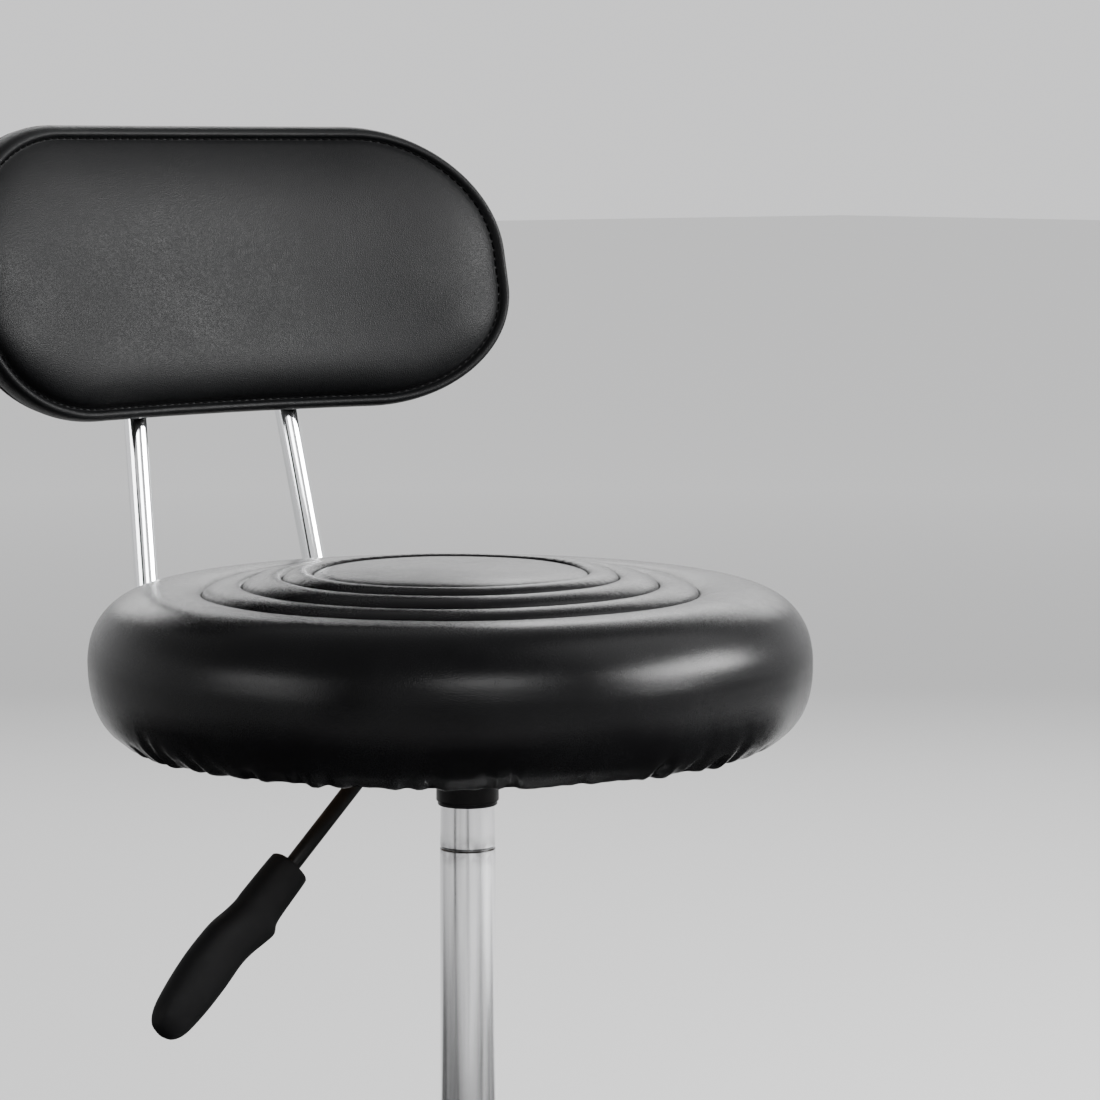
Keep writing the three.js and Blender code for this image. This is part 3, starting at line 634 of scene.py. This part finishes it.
def add_seat():
    profile, sewn = seat_profile()
    inner = [(HEM_IN, UNDER_BOARD), (163.6, UNDER_BOARD), *((r, OVER_BOARD) for r in (163.9, 150, 80, 0))]
    rows = np.vstack([profile, inner])
    free = len(profile)
    angle = np.arange(AROUND) * TAU / AROUND
    radius = np.repeat(rows[:, :1], AROUND, axis=1)
    height = np.repeat(rows[:, 1:], AROUND, axis=1)
    top = (radius < 140) & (height > -10)

    # The sewn circles wander a little, and each stitch pulls a small pucker into the rolls beside it.
    drift = 0.35 * waves(angle, (2, 3, 5, 8), 3)
    radius[:free] += np.where(top[:free], drift * (radius[:free] / ABOUT_LAST_GROOVE), 0)
    for k, (groove_r, _) in enumerate(GROOVES):
        stitches = round(TAU * groove_r / STITCH)
        pull = 0.5 + 0.5 * np.sin(stitches * angle + 2 * waves(angle, (7, 11, 19), 20 + k))
        near = np.exp(-((np.abs(radius - groove_r) - 2.2) / 2.4) ** 2) * top
        height -= 0.16 * near * pull * (0.6 + 0.4 * waves(angle, (13, 29), 30 + k))
    sway = np.where(top[:free], radius[:free] / ABOUT_LAST_GROOVE, 0)
    height[:free] += 0.22 * waves(angle, (1, 2, 4, 7), 5) * sway

    flat_x, flat_y = radius * np.cos(angle), radius * np.sin(angle)
    points = np.stack([flat_x + SEAT_CENTRE[0], flat_y + SEAT_CENTRE[1], height + SEAT_LINE], axis=-1)
    grid = points.reshape(-1, 3)
    cloth = make("seat_cloth", grid, skin(len(rows), AROUND)[::-1], merged=False)
    row = np.repeat(np.arange(len(rows)), AROUND)
    held = (row >= free - 6) | np.isin(row, sewn) | (row == 0)
    gathered = smooth_step((-46 - height) / 20).ravel() * (row < free)
    moves = simulate(cloth, held, gathered).reshape(len(rows), AROUND, 3)
    bpy.data.objects.remove(cloth)
    out = moves[..., 0] * np.cos(angle) + moves[..., 1] * np.sin(angle)
    swell = np.stack([out, moves[..., 2]])
    swell -= swell.mean(axis=2, keepdims=True)
    out, rise = np.clip(swell, -LARGEST_SWELL, LARGEST_SWELL)
    points[..., 0] += out * np.cos(angle)
    points[..., 1] += out * np.sin(angle)
    points[..., 2] += rise
    points = finer(points)
    staples = gather_hem(points[: 2 * free - 1])
    faces = skin(*points.shape[:2])
    cushion = make("seat_cushion", points.reshape(-1, 3), faces, "seat", "seat_vinyl", crisp=False)
    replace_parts(cushion, "seat_cover", "seat_foam")
    add_staples(staples)


def gather_hem(points):
    """Presses tucks into the cover's side, where it is pulled under the board. Gives the staples' angles."""
    chance = np.random.default_rng(11)
    staples = (np.arange(TUCKS) + chance.uniform(-0.33, 0.33, TUCKS)) * TAU / TUCKS
    depth = chance.uniform(0.1, 1.4, TUCKS) + 1.5 * (chance.uniform(0, 1, TUCKS) > 0.7)
    reach = chance.uniform(9, TUCK_DROP, TUCKS)
    lean = chance.uniform(-0.4, 0.4, TUCKS)
    across, along = points[..., 0] - SEAT_CENTRE[0], points[..., 1] - SEAT_CENTRE[1]
    radius, angle = np.hypot(across, along), np.arctan2(along, across)
    height = points[..., 2] - SEAT_LINE
    low = np.clip(TUCK_TOP - height, 0, TUCK_DROP)
    above = TUCK_DROP - low
    side = radius > 146
    inward, lift = np.zeros_like(radius), np.zeros_like(radius)
    for spot, pull, length, tilt in zip(staples, depth, reach, lean):
        off = (angle - spot + math.pi) % TAU - math.pi - tilt * above / np.maximum(radius, 100)
        tuck = np.exp(-((off * radius) / (2.3 + 0.12 * above)) ** 2)
        tuck -= 0.35 * np.exp(-((np.abs(off * radius) - 6) / 2.6) ** 2)
        fall = smooth_step((low - (TUCK_DROP - length)) / length) * side
        inward += 0.6 * pull * tuck * fall
        lift += 0.9 * pull * tuck * fall * smooth_step((low - 12) / 16)
    bulge = 0.5 * waves(angle, (3, 5, 9, 14), 9) * smooth_step((-20 - height) / 30) * side
    droop = 0.45 * waves(angle, (19, 31, 47), 10) * smooth_step((low - 20) / 9) * side
    points[..., 0] += (bulge - inward) * np.cos(angle)
    points[..., 1] += (bulge - inward) * np.sin(angle)
    points[..., 2] += lift - droop
    return staples


def add_staples(spots):
    """Staples that hold the hem under the board, at angles round the seat."""
    circle_radius, depth, wire = 147, 73.5, 0.45
    shapes = []
    for i, spot in enumerate(spots):
        x = SEAT_CENTRE[0] + circle_radius * math.cos(spot)
        y = SEAT_CENTRE[1] + circle_radius * math.sin(spot)
        centre = np.array((x, y, SEAT_LINE - depth))
        turn = spot + 0.3 * math.sin(5.1 * i)
        across = np.array((math.cos(turn + math.pi / 2), math.sin(turn + math.pi / 2), 0))
        up = np.array((0, 0, 1.0))
        right, left = centre + 4.9 * across, centre - 4.9 * across
        path = [centre - 5 * across + up, left, right, centre + 5 * across + up]
        shapes.append(swept(rounded(path, 0.7, 3), wire, 6))
    make("hem_staples", *joined(shapes), "seat", "steel", crisp=False)


# ---- Backrest ----
ROD_BACK = 204.4  # how far behind the column the rods' line is at the seat line
LEAN = math.tan(math.radians(11.7))
ROD_SPREAD = 54.85  # half the rods' distance at the seat line
ROD_TAPER = math.tan(math.radians(4))
ROD_RADIUS = 6.35
ROD_FOOT, ROD_TOP = -79.85, 190
BACK_MIDDLE = 155.0
EDGE_AHEAD = 9.5  # how far the edge line is in front of the rods' line
BACK_CURVE = 820  # twice the radius that the backrest is bent to
SEAM = 7.0  # inset of the front seam
SEAM_DEPTH = 10.2  # how far the seam is in front of the edge line
SWELL_DEPTH = 15.4  # how far the middle of the face is in front of the seam


def back_outline(inset):
    """Two lines of (x, height) from the backrest's widest point: over its top, and along its bottom."""
    turns = np.linspace(0, math.pi / 2, 43)
    halves = []
    for cx, cz, width, height, sign in ((94.5, 163, 80, 69, 1), (89.5, 144, 85, 66, -1)):
        width, height = width - inset, height - inset
        start = [(cx + width, z) for z in np.linspace(153.5, cz, 4)[:-1]]
        corner = [(cx + width * math.cos(a), cz + sign * height * math.sin(a)) for a in turns]
        flat = [(x, cz + sign * height) for x in np.linspace(cx, 0, 36)[1:]]
        half = start + corner + flat
        halves.append(half + [(-x, z) for x, z in half[-2::-1]])
    top, bottom = halves
    return np.array(top), np.array(bottom)


def back_ring(share, inset, depth):
    """A ring between the backrest's middle line and its inset outline, at a depth behind the edge line."""
    middle_length = 0.56  # of the outline's
    top, bottom = back_outline(inset)
    across = (top[:, 0] + bottom[:, 0]) * 0.5 * middle_length
    centre = np.column_stack([across, np.full(len(top), BACK_MIDDLE)])
    loop = np.vstack([centre + share * (top - centre), (centre + share * (bottom - centre))[-2:0:-1]])
    x, h = loop[:, 0], loop[:, 1]
    y = ROD_BACK - EDGE_AHEAD + h * LEAN - x**2 / BACK_CURVE + depth
    return np.column_stack([x, y, h + SEAT_LINE])


def add_back_front():
    shares = np.linspace(0, 1, 30) ** 0.8
    face = [(s, SEAM, -SEAM_DEPTH - SWELL_DEPTH * (1 - s**3) ** 0.8) for s in shares]
    band = [(1, SEAM - 0.9, -12.2), (1, 5.2, -13.2), (1, 4.0, -13.5), (1, 2.6, -12.8), (1, 1.4, -11.2),
            (1, 0.6, -8.6), (1, 0.2, -5.6), (1, 0, -2.6), (1, 0.2, 0.2), (1, 0.7, 2.2), (1, 1.6, 3.0)]
    inside = [(1, 4.5, 3.0), (1, 4.9, -4.6), (0.9, 6, -4.8), (0.5, 6, -4.8), (0, 6, -4.8)]
    rings = np.array([back_ring(*row) for row in face + band + inside])
    around = rings.shape[1]
    turn = np.arange(around) * TAU / around
    seam = len(face) - 1

    # The foam is fuller low down, so the face rolls under further above the lower seam.
    below = smooth_step((SEAT_LINE + BACK_MIDDLE - rings[seam, :, 2]) / 50)
    for k, share in enumerate(shares):
        rolled = math.sqrt(1 - max(0.0, (share - 0.6) / 0.4) ** 2)
        rings[k, :, 1] -= SWELL_DEPTH * below * (rolled - (1 - share**3) ** 0.8)

    # Each stitch of the seam pulls a small pucker into the cover on both sides.
    pucker = 0.5 + 0.5 * np.sin(150 * turn + 1.6 * waves(turn, (9, 17, 31), 41))
    for k in range(seam - 3, seam + 5):
        near = np.exp(-(((abs(k - seam) - 1) / 1.6) ** 2))
        rings[k, :, 1] += 0.35 * pucker * near * (0.7 + 0.4 * waves(turn, (12, 23), 42))
    pad = swollen_pad("backrest_pad", rings, seam, 3.0)
    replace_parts(pad, "backrest_cover_front", "backrest_foam")
    add_stitches()


def swollen_pad(name, rings, held_from, cap):
    """A pad from its rings: cloth that swells by up to cap millimetres, but is held from one ring on."""
    rows, around = rings.shape[:2]
    points = rings.reshape(-1, 3)
    cloth = make(name + "_cloth", points, skin(rows, around), merged=False)
    moves = simulate(cloth, np.repeat(np.arange(rows), around) >= held_from, pressure=3.0)
    bpy.data.objects.remove(cloth)
    size = np.linalg.norm(moves, axis=1)
    moves *= (np.minimum(size, cap) / np.maximum(size, 1e-6))[:, None]
    pad = make(name, points + moves, skin(rows, around), "seat", "back_vinyl", crisp=False)
    pad.modifiers.new("finer", "SUBSURF").levels = 1
    finer_mesh = bpy.data.meshes.new_from_object(pad.evaluated_get(bpy.context.evaluated_depsgraph_get()))
    pad.modifiers.clear()
    pad.data = finer_mesh
    finer_mesh.shade_smooth()
    return pad


def add_stitches():
    """The seam's thread: short stitches sunk in the groove, each raised a little in its middle."""
    spacing, raised, thread = 5.0, 0.35, 0.45
    loop = back_ring(1, SEAM, -11.0)
    loop = np.vstack([loop, loop[:1]])
    run = np.concatenate([[0], np.cumsum(np.linalg.norm(np.diff(loop, axis=0), axis=1))])
    count = round(run[-1] / spacing)
    shapes = []
    for i in range(count):
        ends = (i + np.array((0.1, 0.35, 0.6, 0.85))) * run[-1] / count
        path = np.column_stack([np.interp(ends, run, loop[:, k]) for k in range(3)])
        path[1:3, 1] -= raised
        shapes.append(swept(path, thread, 6, 0.2))
    make("backrest_stitches", *joined(shapes), "seat", "back_vinyl", LOOKS["thread"], crisp=False)


def add_back_rear():
    shares = np.linspace(0, 1, 24) ** 0.85
    face = [(s, 9.5, 17.4 + 4.4 * (1 - s**3)) for s in shares]
    rim = [(1, 7.0, 16.3), (1, 5.0, 14.8), (1, 3.6, 12.9), (1, 2.6, 10.6), (1, 1.8, 8.4), (1, 1.1, 6.0),
           (1, 1.0, 4.4), (1, 1.9, 3.4)]
    inside = [(1, 5.0, 3.4), (1, 5.4, 4.8), (0.5, 6, 4.8), (0, 6, 4.8)]
    rings = np.array([back_ring(*row) for row in face + rim + inside])
    pad = swollen_pad("backrest_rear_pad", rings, len(face) + 3, 1.5)
    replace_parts(pad, "backrest_cover_rear")


def rod_point(side, height):
    """A point on a rod's line, at a height over the seat line and on the side of x that has this sign."""
    x = side * (ROD_SPREAD - height * ROD_TAPER)
    return np.array((x, ROD_BACK + height * LEAN, SEAT_LINE + height))


def add_rods():
    for name, side in (("back_rod_left", 1), ("back_rod_right", -1)):
        corner = rod_point(side, ROD_FOOT)
        end = np.array((corner[0], box(name)[0].y, corner[2]))
        path = rounded([rod_point(side, ROD_TOP), corner, end], 26, 12)
        rod = make(name + "_chrome", *swept(path, ROD_RADIUS, 40, 1.2), "seat", "chrome", crisp=False)
        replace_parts(rod, name)
        entry = [rod_point(side, h) for h in (79.5, 80.3, 84, 88)]
        make(name + "_grommet", *swept(entry, 8.6, 32, 1.0), "seat", "black_nylon", crisp=False)


# ---- Gas lift ----
FOOT_HOLE = 5.6  # radius of the column tube's hole for the piston rod
CYLINDER_HOLE = 5.4
PIN_HOLE = 3
HUB_HOLE = 25.4
SMOOTH = 96  # points round a turned piece


def add_gas_lift():
    low, high = box("gas_cylinder")
    radius, inner = high.x, high.x - 2
    floor, cavity = low.z + 4, high.z - 30
    line = [(CYLINDER_HOLE, low.z), (radius - 1, low.z), (radius, low.z + 1), (radius, TUBE_RING - 0.3),
            (radius - 0.5, TUBE_RING), (radius - 0.5, TUBE_RING + 0.8), (radius - 0.1, TUBE_RING + 1.2),
            (13.2, high.z - 0.5), (12.8, high.z), (PIN_HOLE, high.z), (PIN_HOLE, cavity), (inner, cavity),
            (inner, floor), (CYLINDER_HOLE, floor), (CYLINDER_HOLE, low.z)]
    shape = turned(rounded(line, 0.4), SMOOTH)
    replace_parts(make("gas_cylinder_tube", *shape, "seat", "chrome", LOOKS["tube"]), "gas_cylinder")

    low, high = box("taper_socket")
    bore, lip, radius = 13.9, 15.0, 15.75
    line = [(bore, high.z), (bore, low.z), (lip, low.z), (lip, low.z + 1.6), (radius, low.z + 2.4),
            (radius, high.z), (bore, high.z)]
    shape = turned(rounded(line, 0.5), SMOOTH)
    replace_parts(make("taper_socket_collar", *shape, "seat", "black_steel"), "taper_socket")

    low, high = box("column_tube")
    radius, inner = high.x, high.x - 1.8
    floor = low.z + 3
    line = [(FOOT_HOLE, floor), (FOOT_HOLE, low.z), (radius, low.z), (radius, high.z), (inner, high.z),
            (inner, floor), (FOOT_HOLE, floor)]
    shape = turned(rounded(line, 0.6), SMOOTH)
    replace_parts(make("column_tube_chrome", *shape, "base", "chrome"), "column_tube")

    low, high = box("guide_bush")
    bore, body, flange = 14.35, 22.9, 25
    lip = high.z - 5.7
    line = [(bore, high.z), (bore, low.z), (body, low.z), (body, lip), (flange, lip), (flange, high.z - 2),
            (22, high.z - 0.4), (19.5, high.z), (16.2, high.z), (15.6, high.z - 0.8), (bore, high.z)]
    shape = turned(rounded(line, 0.7), SMOOTH)
    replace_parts(make("guide_bush_ring", *shape, "base", "black_nylon"), "guide_bush")

    low, high = box("base_hub")
    radius, groove = high.x, high.x - 0.8
    line = [(HUB_HOLE, low.z), (radius - 0.6, low.z), (radius, low.z + 2), (radius, high.z - 6),
            (groove, high.z - 5.2), (groove, high.z - 4.2), (radius - 0.4, high.z - 3.4),
            (radius - 2.4, high.z), (HUB_HOLE, high.z), (HUB_HOLE, low.z)]
    shape = turned(rounded(line, 1.2), SMOOTH)
    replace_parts(make("base_hub_ring", *shape, "base", "chrome"), "base_hub")


# ---- Lever ----
LEVER_DROOP = math.radians(42.7)
LEVER_BEND = -65.9  # x where the lever turns down
LEVER_HIGH, LEVER_LOW = SEAT_LINE - 79.5, SEAT_LINE - 84.5  # heights of its level stretches
LEVER_RADIUS = 4
BAR_AFTER_BEND = 101.5
GRIP = [  # (distance past the bend, offset, half height, half width)
    (59.5, 0.3, 9.6, 7.8), (62, 0.3, 10.5, 8.5), (84, 0, 11.4, 8.8), (90, -1.5, 12.9, 9),
    (97, -0.3, 12.8, 9), (105, 1.7, 12.7, 9), (113, 2.5, 12.6, 9), (126, 2.1, 13, 9), (140, 1.4, 12.3, 8.8),
    (152, 0.8, 10.8, 8), (158, 0.5, 9, 7), (162, 0.4, 6, 5), (163.5, 0.4, 2.5, 2),
]
GRIP_MOUTH = [(59.5, 0.3, 5.0, 4.6), (59.45, 0.3, 8.4, 7.0)]
SQUARENESS = 2.5  # 2 would make the grip's section an ellipse


def add_lever():
    down = np.array((-math.cos(LEVER_DROOP), 0, -math.sin(LEVER_DROOP)))
    rise = np.array((down[2], 0, -down[0]))
    bend = np.array((LEVER_BEND, 0, LEVER_LOW))
    tip = bend + BAR_AFTER_BEND * down
    corners = [(5, 0, LEVER_HIGH), (-14, 0, LEVER_HIGH), (-30, 0, LEVER_LOW), bend, tip]
    shape = swept(rounded(corners, 12, 10), LEVER_RADIUS, 28, 0.6)
    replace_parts(make("lever_bar", *shape, "lever", "black_steel", crisp=False), "lever_rod")
    around = 44
    turn = np.arange(around) * TAU / around
    c, s = np.cos(turn), np.sin(turn)
    swell = (np.abs(c) ** SQUARENESS + np.abs(s) ** SQUARENESS) ** (-1 / SQUARENESS)
    loops = []
    for distance, offset, half_height, half_width in [*GRIP_MOUTH, *smooth_line(GRIP, 1.5)]:
        centre = bend + distance * down + offset * rise
        upwards, sideways = half_height * c * swell, half_width * s * swell
        loops.append(centre + np.outer(upwards, rise) + np.outer(sideways, (0, 1, 0)))
    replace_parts(make("lever_grip_moulding", *capped(loops), "lever", "grip"), "lever_grip")


# ---- Star base ----
LEG_START, LEG_END = 31.6, 228.0  # distances from the column
NOSE_START, NOSE_LENGTH = 217, 11.2
LEG_WALL = 3
HOLLOW_END = 200  # the channel's hollow has closed by here


def arch(width, peak, bend, crown):
    """The top of a channel's section, from its right side over its crown to its left side."""
    turns = np.linspace(0, math.pi / 2, 7)
    right = [(width, peak - bend - 2)]
    right += [(width - bend + bend * math.cos(a), peak - bend + bend * math.sin(a)) for a in turns]
    right += [((width - bend) * t, peak + crown * (1 - t**2)) for t in (0.66, 0.33)]
    return right + [(0, peak + crown)] + [(-y, z) for y, z in reversed(right)]


def leg_section(distance):
    """A channel's closed outline at a distance from the column, as (sideways, height) points."""
    along = (distance - LEG_START) / (LEG_END - LEG_START)
    nose = math.sqrt(max(0.0, 1 - (max(0.0, distance - NOSE_START) / NOSE_LENGTH) ** 2))
    half = (12.5 + 5 * (1 - along)) * max(nose, 0.12)
    top = 84 + 38 * (1 - along) ** 1.5 - 3.5 * (1 - nose)
    bottom = 62.3 + 18 * (1 - along) ** 1.4
    hollow = float(smooth_step((HOLLOW_END - distance) / 10))
    corner, crown = min(6.0, half * 0.6), 0.9
    outer = [(half, bottom + 1), *arch(half, top, corner, crown), (-half, bottom + 1), (-half + 0.6, bottom)]
    inner_half = max(half - LEG_WALL, half * 0.5)
    ceiling = reversed(arch(inner_half, top - LEG_WALL, min(corner, inner_half * 0.5), crown))
    inner = [(-inner_half, bottom), *ceiling, (inner_half, bottom)]
    inner = [(y, bottom + (z - bottom) * hollow) for y, z in inner]
    return [*outer, *inner, (half - 0.6, bottom)]


def add_leg(number):
    foot = middle(f"caster_{number}_stem")
    heading = math.atan2(foot.y, foot.x)
    stations = [LEG_START, 45, 60, 78, 96, 114, 132, 150, 168, 182, 190, 193, 196, 198.5, 200, 206, 212, 217]
    stations += [NOSE_START + 11.1 * math.sin(a) for a in np.linspace(0, math.pi / 2, 9)[1:]]
    rings = [[(d, y, z) for y, z in leg_section(min(d, LEG_END))] for d in stations]
    leg = make(f"base_leg_{number}_pressing", *capped(rings), "base", "chrome",
               place=moved(0, 0, 0, heading))
    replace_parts(leg, f"base_leg_{number}")


# ---- Casters ----
GUARD_OUT, GUARD_IN, GUARD_HALF = 29.5, 26.9, 23.5  # two radii and half the width
GUARD_BEND = (math.radians(38), math.radians(205))
STEM_BEHIND = -18  # x of the stem's axis, from the wheels' axle
RIM_RADIUS = 20.6  # where a wheel's tread ends and its disc begins


def hood_shapes():
    """The hood, about its wheels' axle: a curved guard, a plate between the wheels and a neck."""
    first, last = GUARD_BEND
    section = [(GUARD_OUT, 0), (GUARD_OUT, GUARD_HALF), (GUARD_IN, GUARD_HALF), (GUARD_IN, -GUARD_HALF),
               (GUARD_OUT, -GUARD_HALF), (GUARD_OUT, 0)]
    guard = rounded(section, 1.2, 4)[:-1]
    bend = np.linspace(first, last, 44)
    guard_rings = [[(r * math.cos(a), y, r * math.sin(a)) for r, y in guard] for a in bend]
    rim = [(27.5 * math.cos(a), 27.5 * math.sin(a)) for a in np.linspace(first, last, 30)]
    rim += [(7 * math.cos(a), 7 * math.sin(a)) for a in np.linspace(last, TAU + first, 20)]
    plate_rings = [[(x, y, z) for x, z in rim] for y in (-3.7, 3.7)]
    neck_rings = []
    for radius, rise in ((11.5, 0.0), (10.2, 0.5), (9.4, 1.6), (9, 3.2)):
        ring = circle(STEM_BEHIND, 0, radius, 0, 40)
        neck_rings.append([(x, y, math.sqrt(max(28.6**2 - x**2, 9)) + rise) for x, y, _ in ring])
    for radius, height in ((9, 33.6), (9, 34.9), (8.6, 35.3), (8, 35.4)):
        neck_rings.append(circle(STEM_BEHIND, 0, radius, height, 40))
    return joined(capped(rings) for rings in (guard_rings, plate_rings, neck_rings))


def wheel_shape():
    """A wheel turned about its axle: its bore, inner side, tread, outer side and hub cap."""
    profile = [
        (3.6, 20.4), (3.6, 4.4), (22.8, 4.4), (24.4, 4.9), (25, 6.4), (25, 19.6), (24.5, 21.2), (23.2, 22.1),
        (21.4, 22.4), (20.8, 22.0), (RIM_RADIUS, 21.2), (19.8, 20.9), (12.6, 21.3), (11.9, 21.6),
        (11.6, 22.2), (10.8, 22.5), (4.5, 22.5), (4.1, 22.1), (0, 22.1),
    ]
    return turned([(0, 20.4), *rounded(profile, 0.5, 3)], 72, "Y")


def add_casters():
    hood, wheel = hood_shapes(), wheel_shape()
    for number in range(1, 6):
        stem_at, axle = middle(f"caster_{number}_stem"), middle(f"caster_{number}_axle")
        trail = math.atan2(axle.y - stem_at.y, axle.x - stem_at.x)
        wheels = moved(axle.x, axle.y, axle.z, trail)
        body = f"caster_{number}"
        guard = make(f"{body}_hood_moulding", *hood, body, "black_nylon", place=wheels)
        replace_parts(guard, f"{body}_hood")
        low, high = box(f"{body}_stem")
        collar_low, collar_high = 60.7, 62
        profile = [(0, low.z), (4, low.z), (4, collar_low), (8, collar_low), (8, collar_high),
                   (5.5, collar_high), (5.5, high.z), (0, high.z)]
        stem = make(f"{body}_stem_pin", *turned(rounded(profile, 0.3, 2), 40), "base", "steel",
                    place=moved(stem_at.x, stem_at.y, 0))
        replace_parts(stem, f"{body}_stem")
        for side, flip in (("a", 0), ("b", math.pi)):
            tyre = make(f"{body}_tyre_{side}", *wheel, f"wheel_{number}{side}", "wheel_tread",
                        place=wheels @ Matrix.Rotation(flip, 4, "Z"))
            tyre.data.materials.append(LOOKS["black_nylon"])
            for face in tyre.data.polygons:
                inner = math.hypot(face.center.x, face.center.z) < RIM_RADIUS / 1000
                face.material_index = 1 if inner else 0
            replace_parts(tyre, f"{body}_wheel_{side}")


# ---- Under the seat ----
PAN_THICKNESS = 2.5
BOLT_RADIUS, BOLT_HEIGHT = 5, 5.4  # half the head's width, and its height with the washer


def bolt_head(x, y, top):
    """A hexagon head and its washer, hanging from a height."""
    around = 24
    washer = ((3.4, top), (7, top), (7, top - 1.2), (6.6, top - 1.3))
    rings = [circle(x, y, radius, z, around) for radius, z in washer]
    bottom = top - BOLT_HEIGHT
    for shrink, z in ((1, top - 1.35), (1, bottom + 0.6), (0.86, bottom), (0.3, bottom)):
        ring = []
        for a in np.linspace(0, TAU, around, endpoint=False):
            nearest = (a + math.pi / 6) % (math.pi / 3) - math.pi / 6
            radius = shrink * BOLT_RADIUS / math.cos(nearest)
            ring.append((x + radius * math.cos(a), y + radius * math.sin(a), z))
        rings.append(ring)
    return capped(rings)


def clamp_screw(x, y, top):
    """A domed screw head with a recess, hanging from just below a height."""
    dome = [(0, top - 1.7), (4, top - 1.9), (3.9, top - 2.8), (3.2, top - 3.6), (1.6, top - 4.1),
            (1.5, top - 3.3), (0, top - 3.2)]
    points, faces = turned(rounded(dome, 0.4, 3), 28)
    return [(px + x, py + y, pz) for px, py, pz in points], faces


def add_fasteners():
    flange = box("mounting_pan")[1].z - PAN_THICKNESS
    for number in range(1, 5):
        bolt = middle(f"seat_bolt_{number}")
        head = make(f"seat_bolt_{number}_head", *bolt_head(bolt.x, bolt.y, flange), "seat", "steel")
        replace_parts(head, f"seat_bolt_{number}")
    from_side = 4.4
    for name in ("rod_clamp_left", "rod_clamp_right"):
        low, high = box(name)
        spots = (low.x + from_side, high.x - from_side)
        screws = [clamp_screw(x, (low.y + high.y) / 2, high.z) for x in spots]
        make(name + "_screws", *joined(screws), "seat", "steel")


def dress_cad_nodes():
    """Gives every CAD node its finish, and softens the edges of those that show."""
    slots = {part["node"]: part["material_slot"] for part in frame["record"]["subparts"]}
    for name, node in frame["nodes"].items():
        node.data.materials.clear()
        node.data.materials.append(LOOKS[slots[name]])
        if node.hide_render:
            continue
        node.modifiers.new("joined_corners", "WELD").merge_threshold = 1e-5
        edges = node.modifiers.new("soft_edges", "BEVEL")
        edges.width = 0.0005
        edges.segments = 2
        edges.limit_method = "ANGLE"
        edges.angle_limit = math.radians(40)


add_camera()
add_world()
add_floor()
add_key_light()
# Softboxes: azimuth, elevation, distance, size and power.
add_softbox("left_box", -57, 14, 2.6, (1.4, 0.8), 24)
add_softbox("front_box", 13, 26, 3.0, (1.3, 0.8), 44)
add_softbox("right_box", 82, 20, 2.4, (1.7, 0.8), 190)
add_softbox("rim_box", 180, 20, 3.0, (2.8, 0.8), 30)
add_flag("tube_flag", 0, (2.1, 0), (2.1, 0.25), 0.5)
add_flag("rod_flag", -34, (2.1, 0.28), (2.1, 1.4), 0.7)
add_flag("floor_flag", 0, (-0.9, 0.002), (1.2, 0.002), 3.2)
add_seat()
add_back_front()
add_back_rear()
add_rods()
add_gas_lift()
add_lever()
for leg in range(1, 6):
    add_leg(leg)
add_casters()
add_fasteners()
dress_cad_nodes()
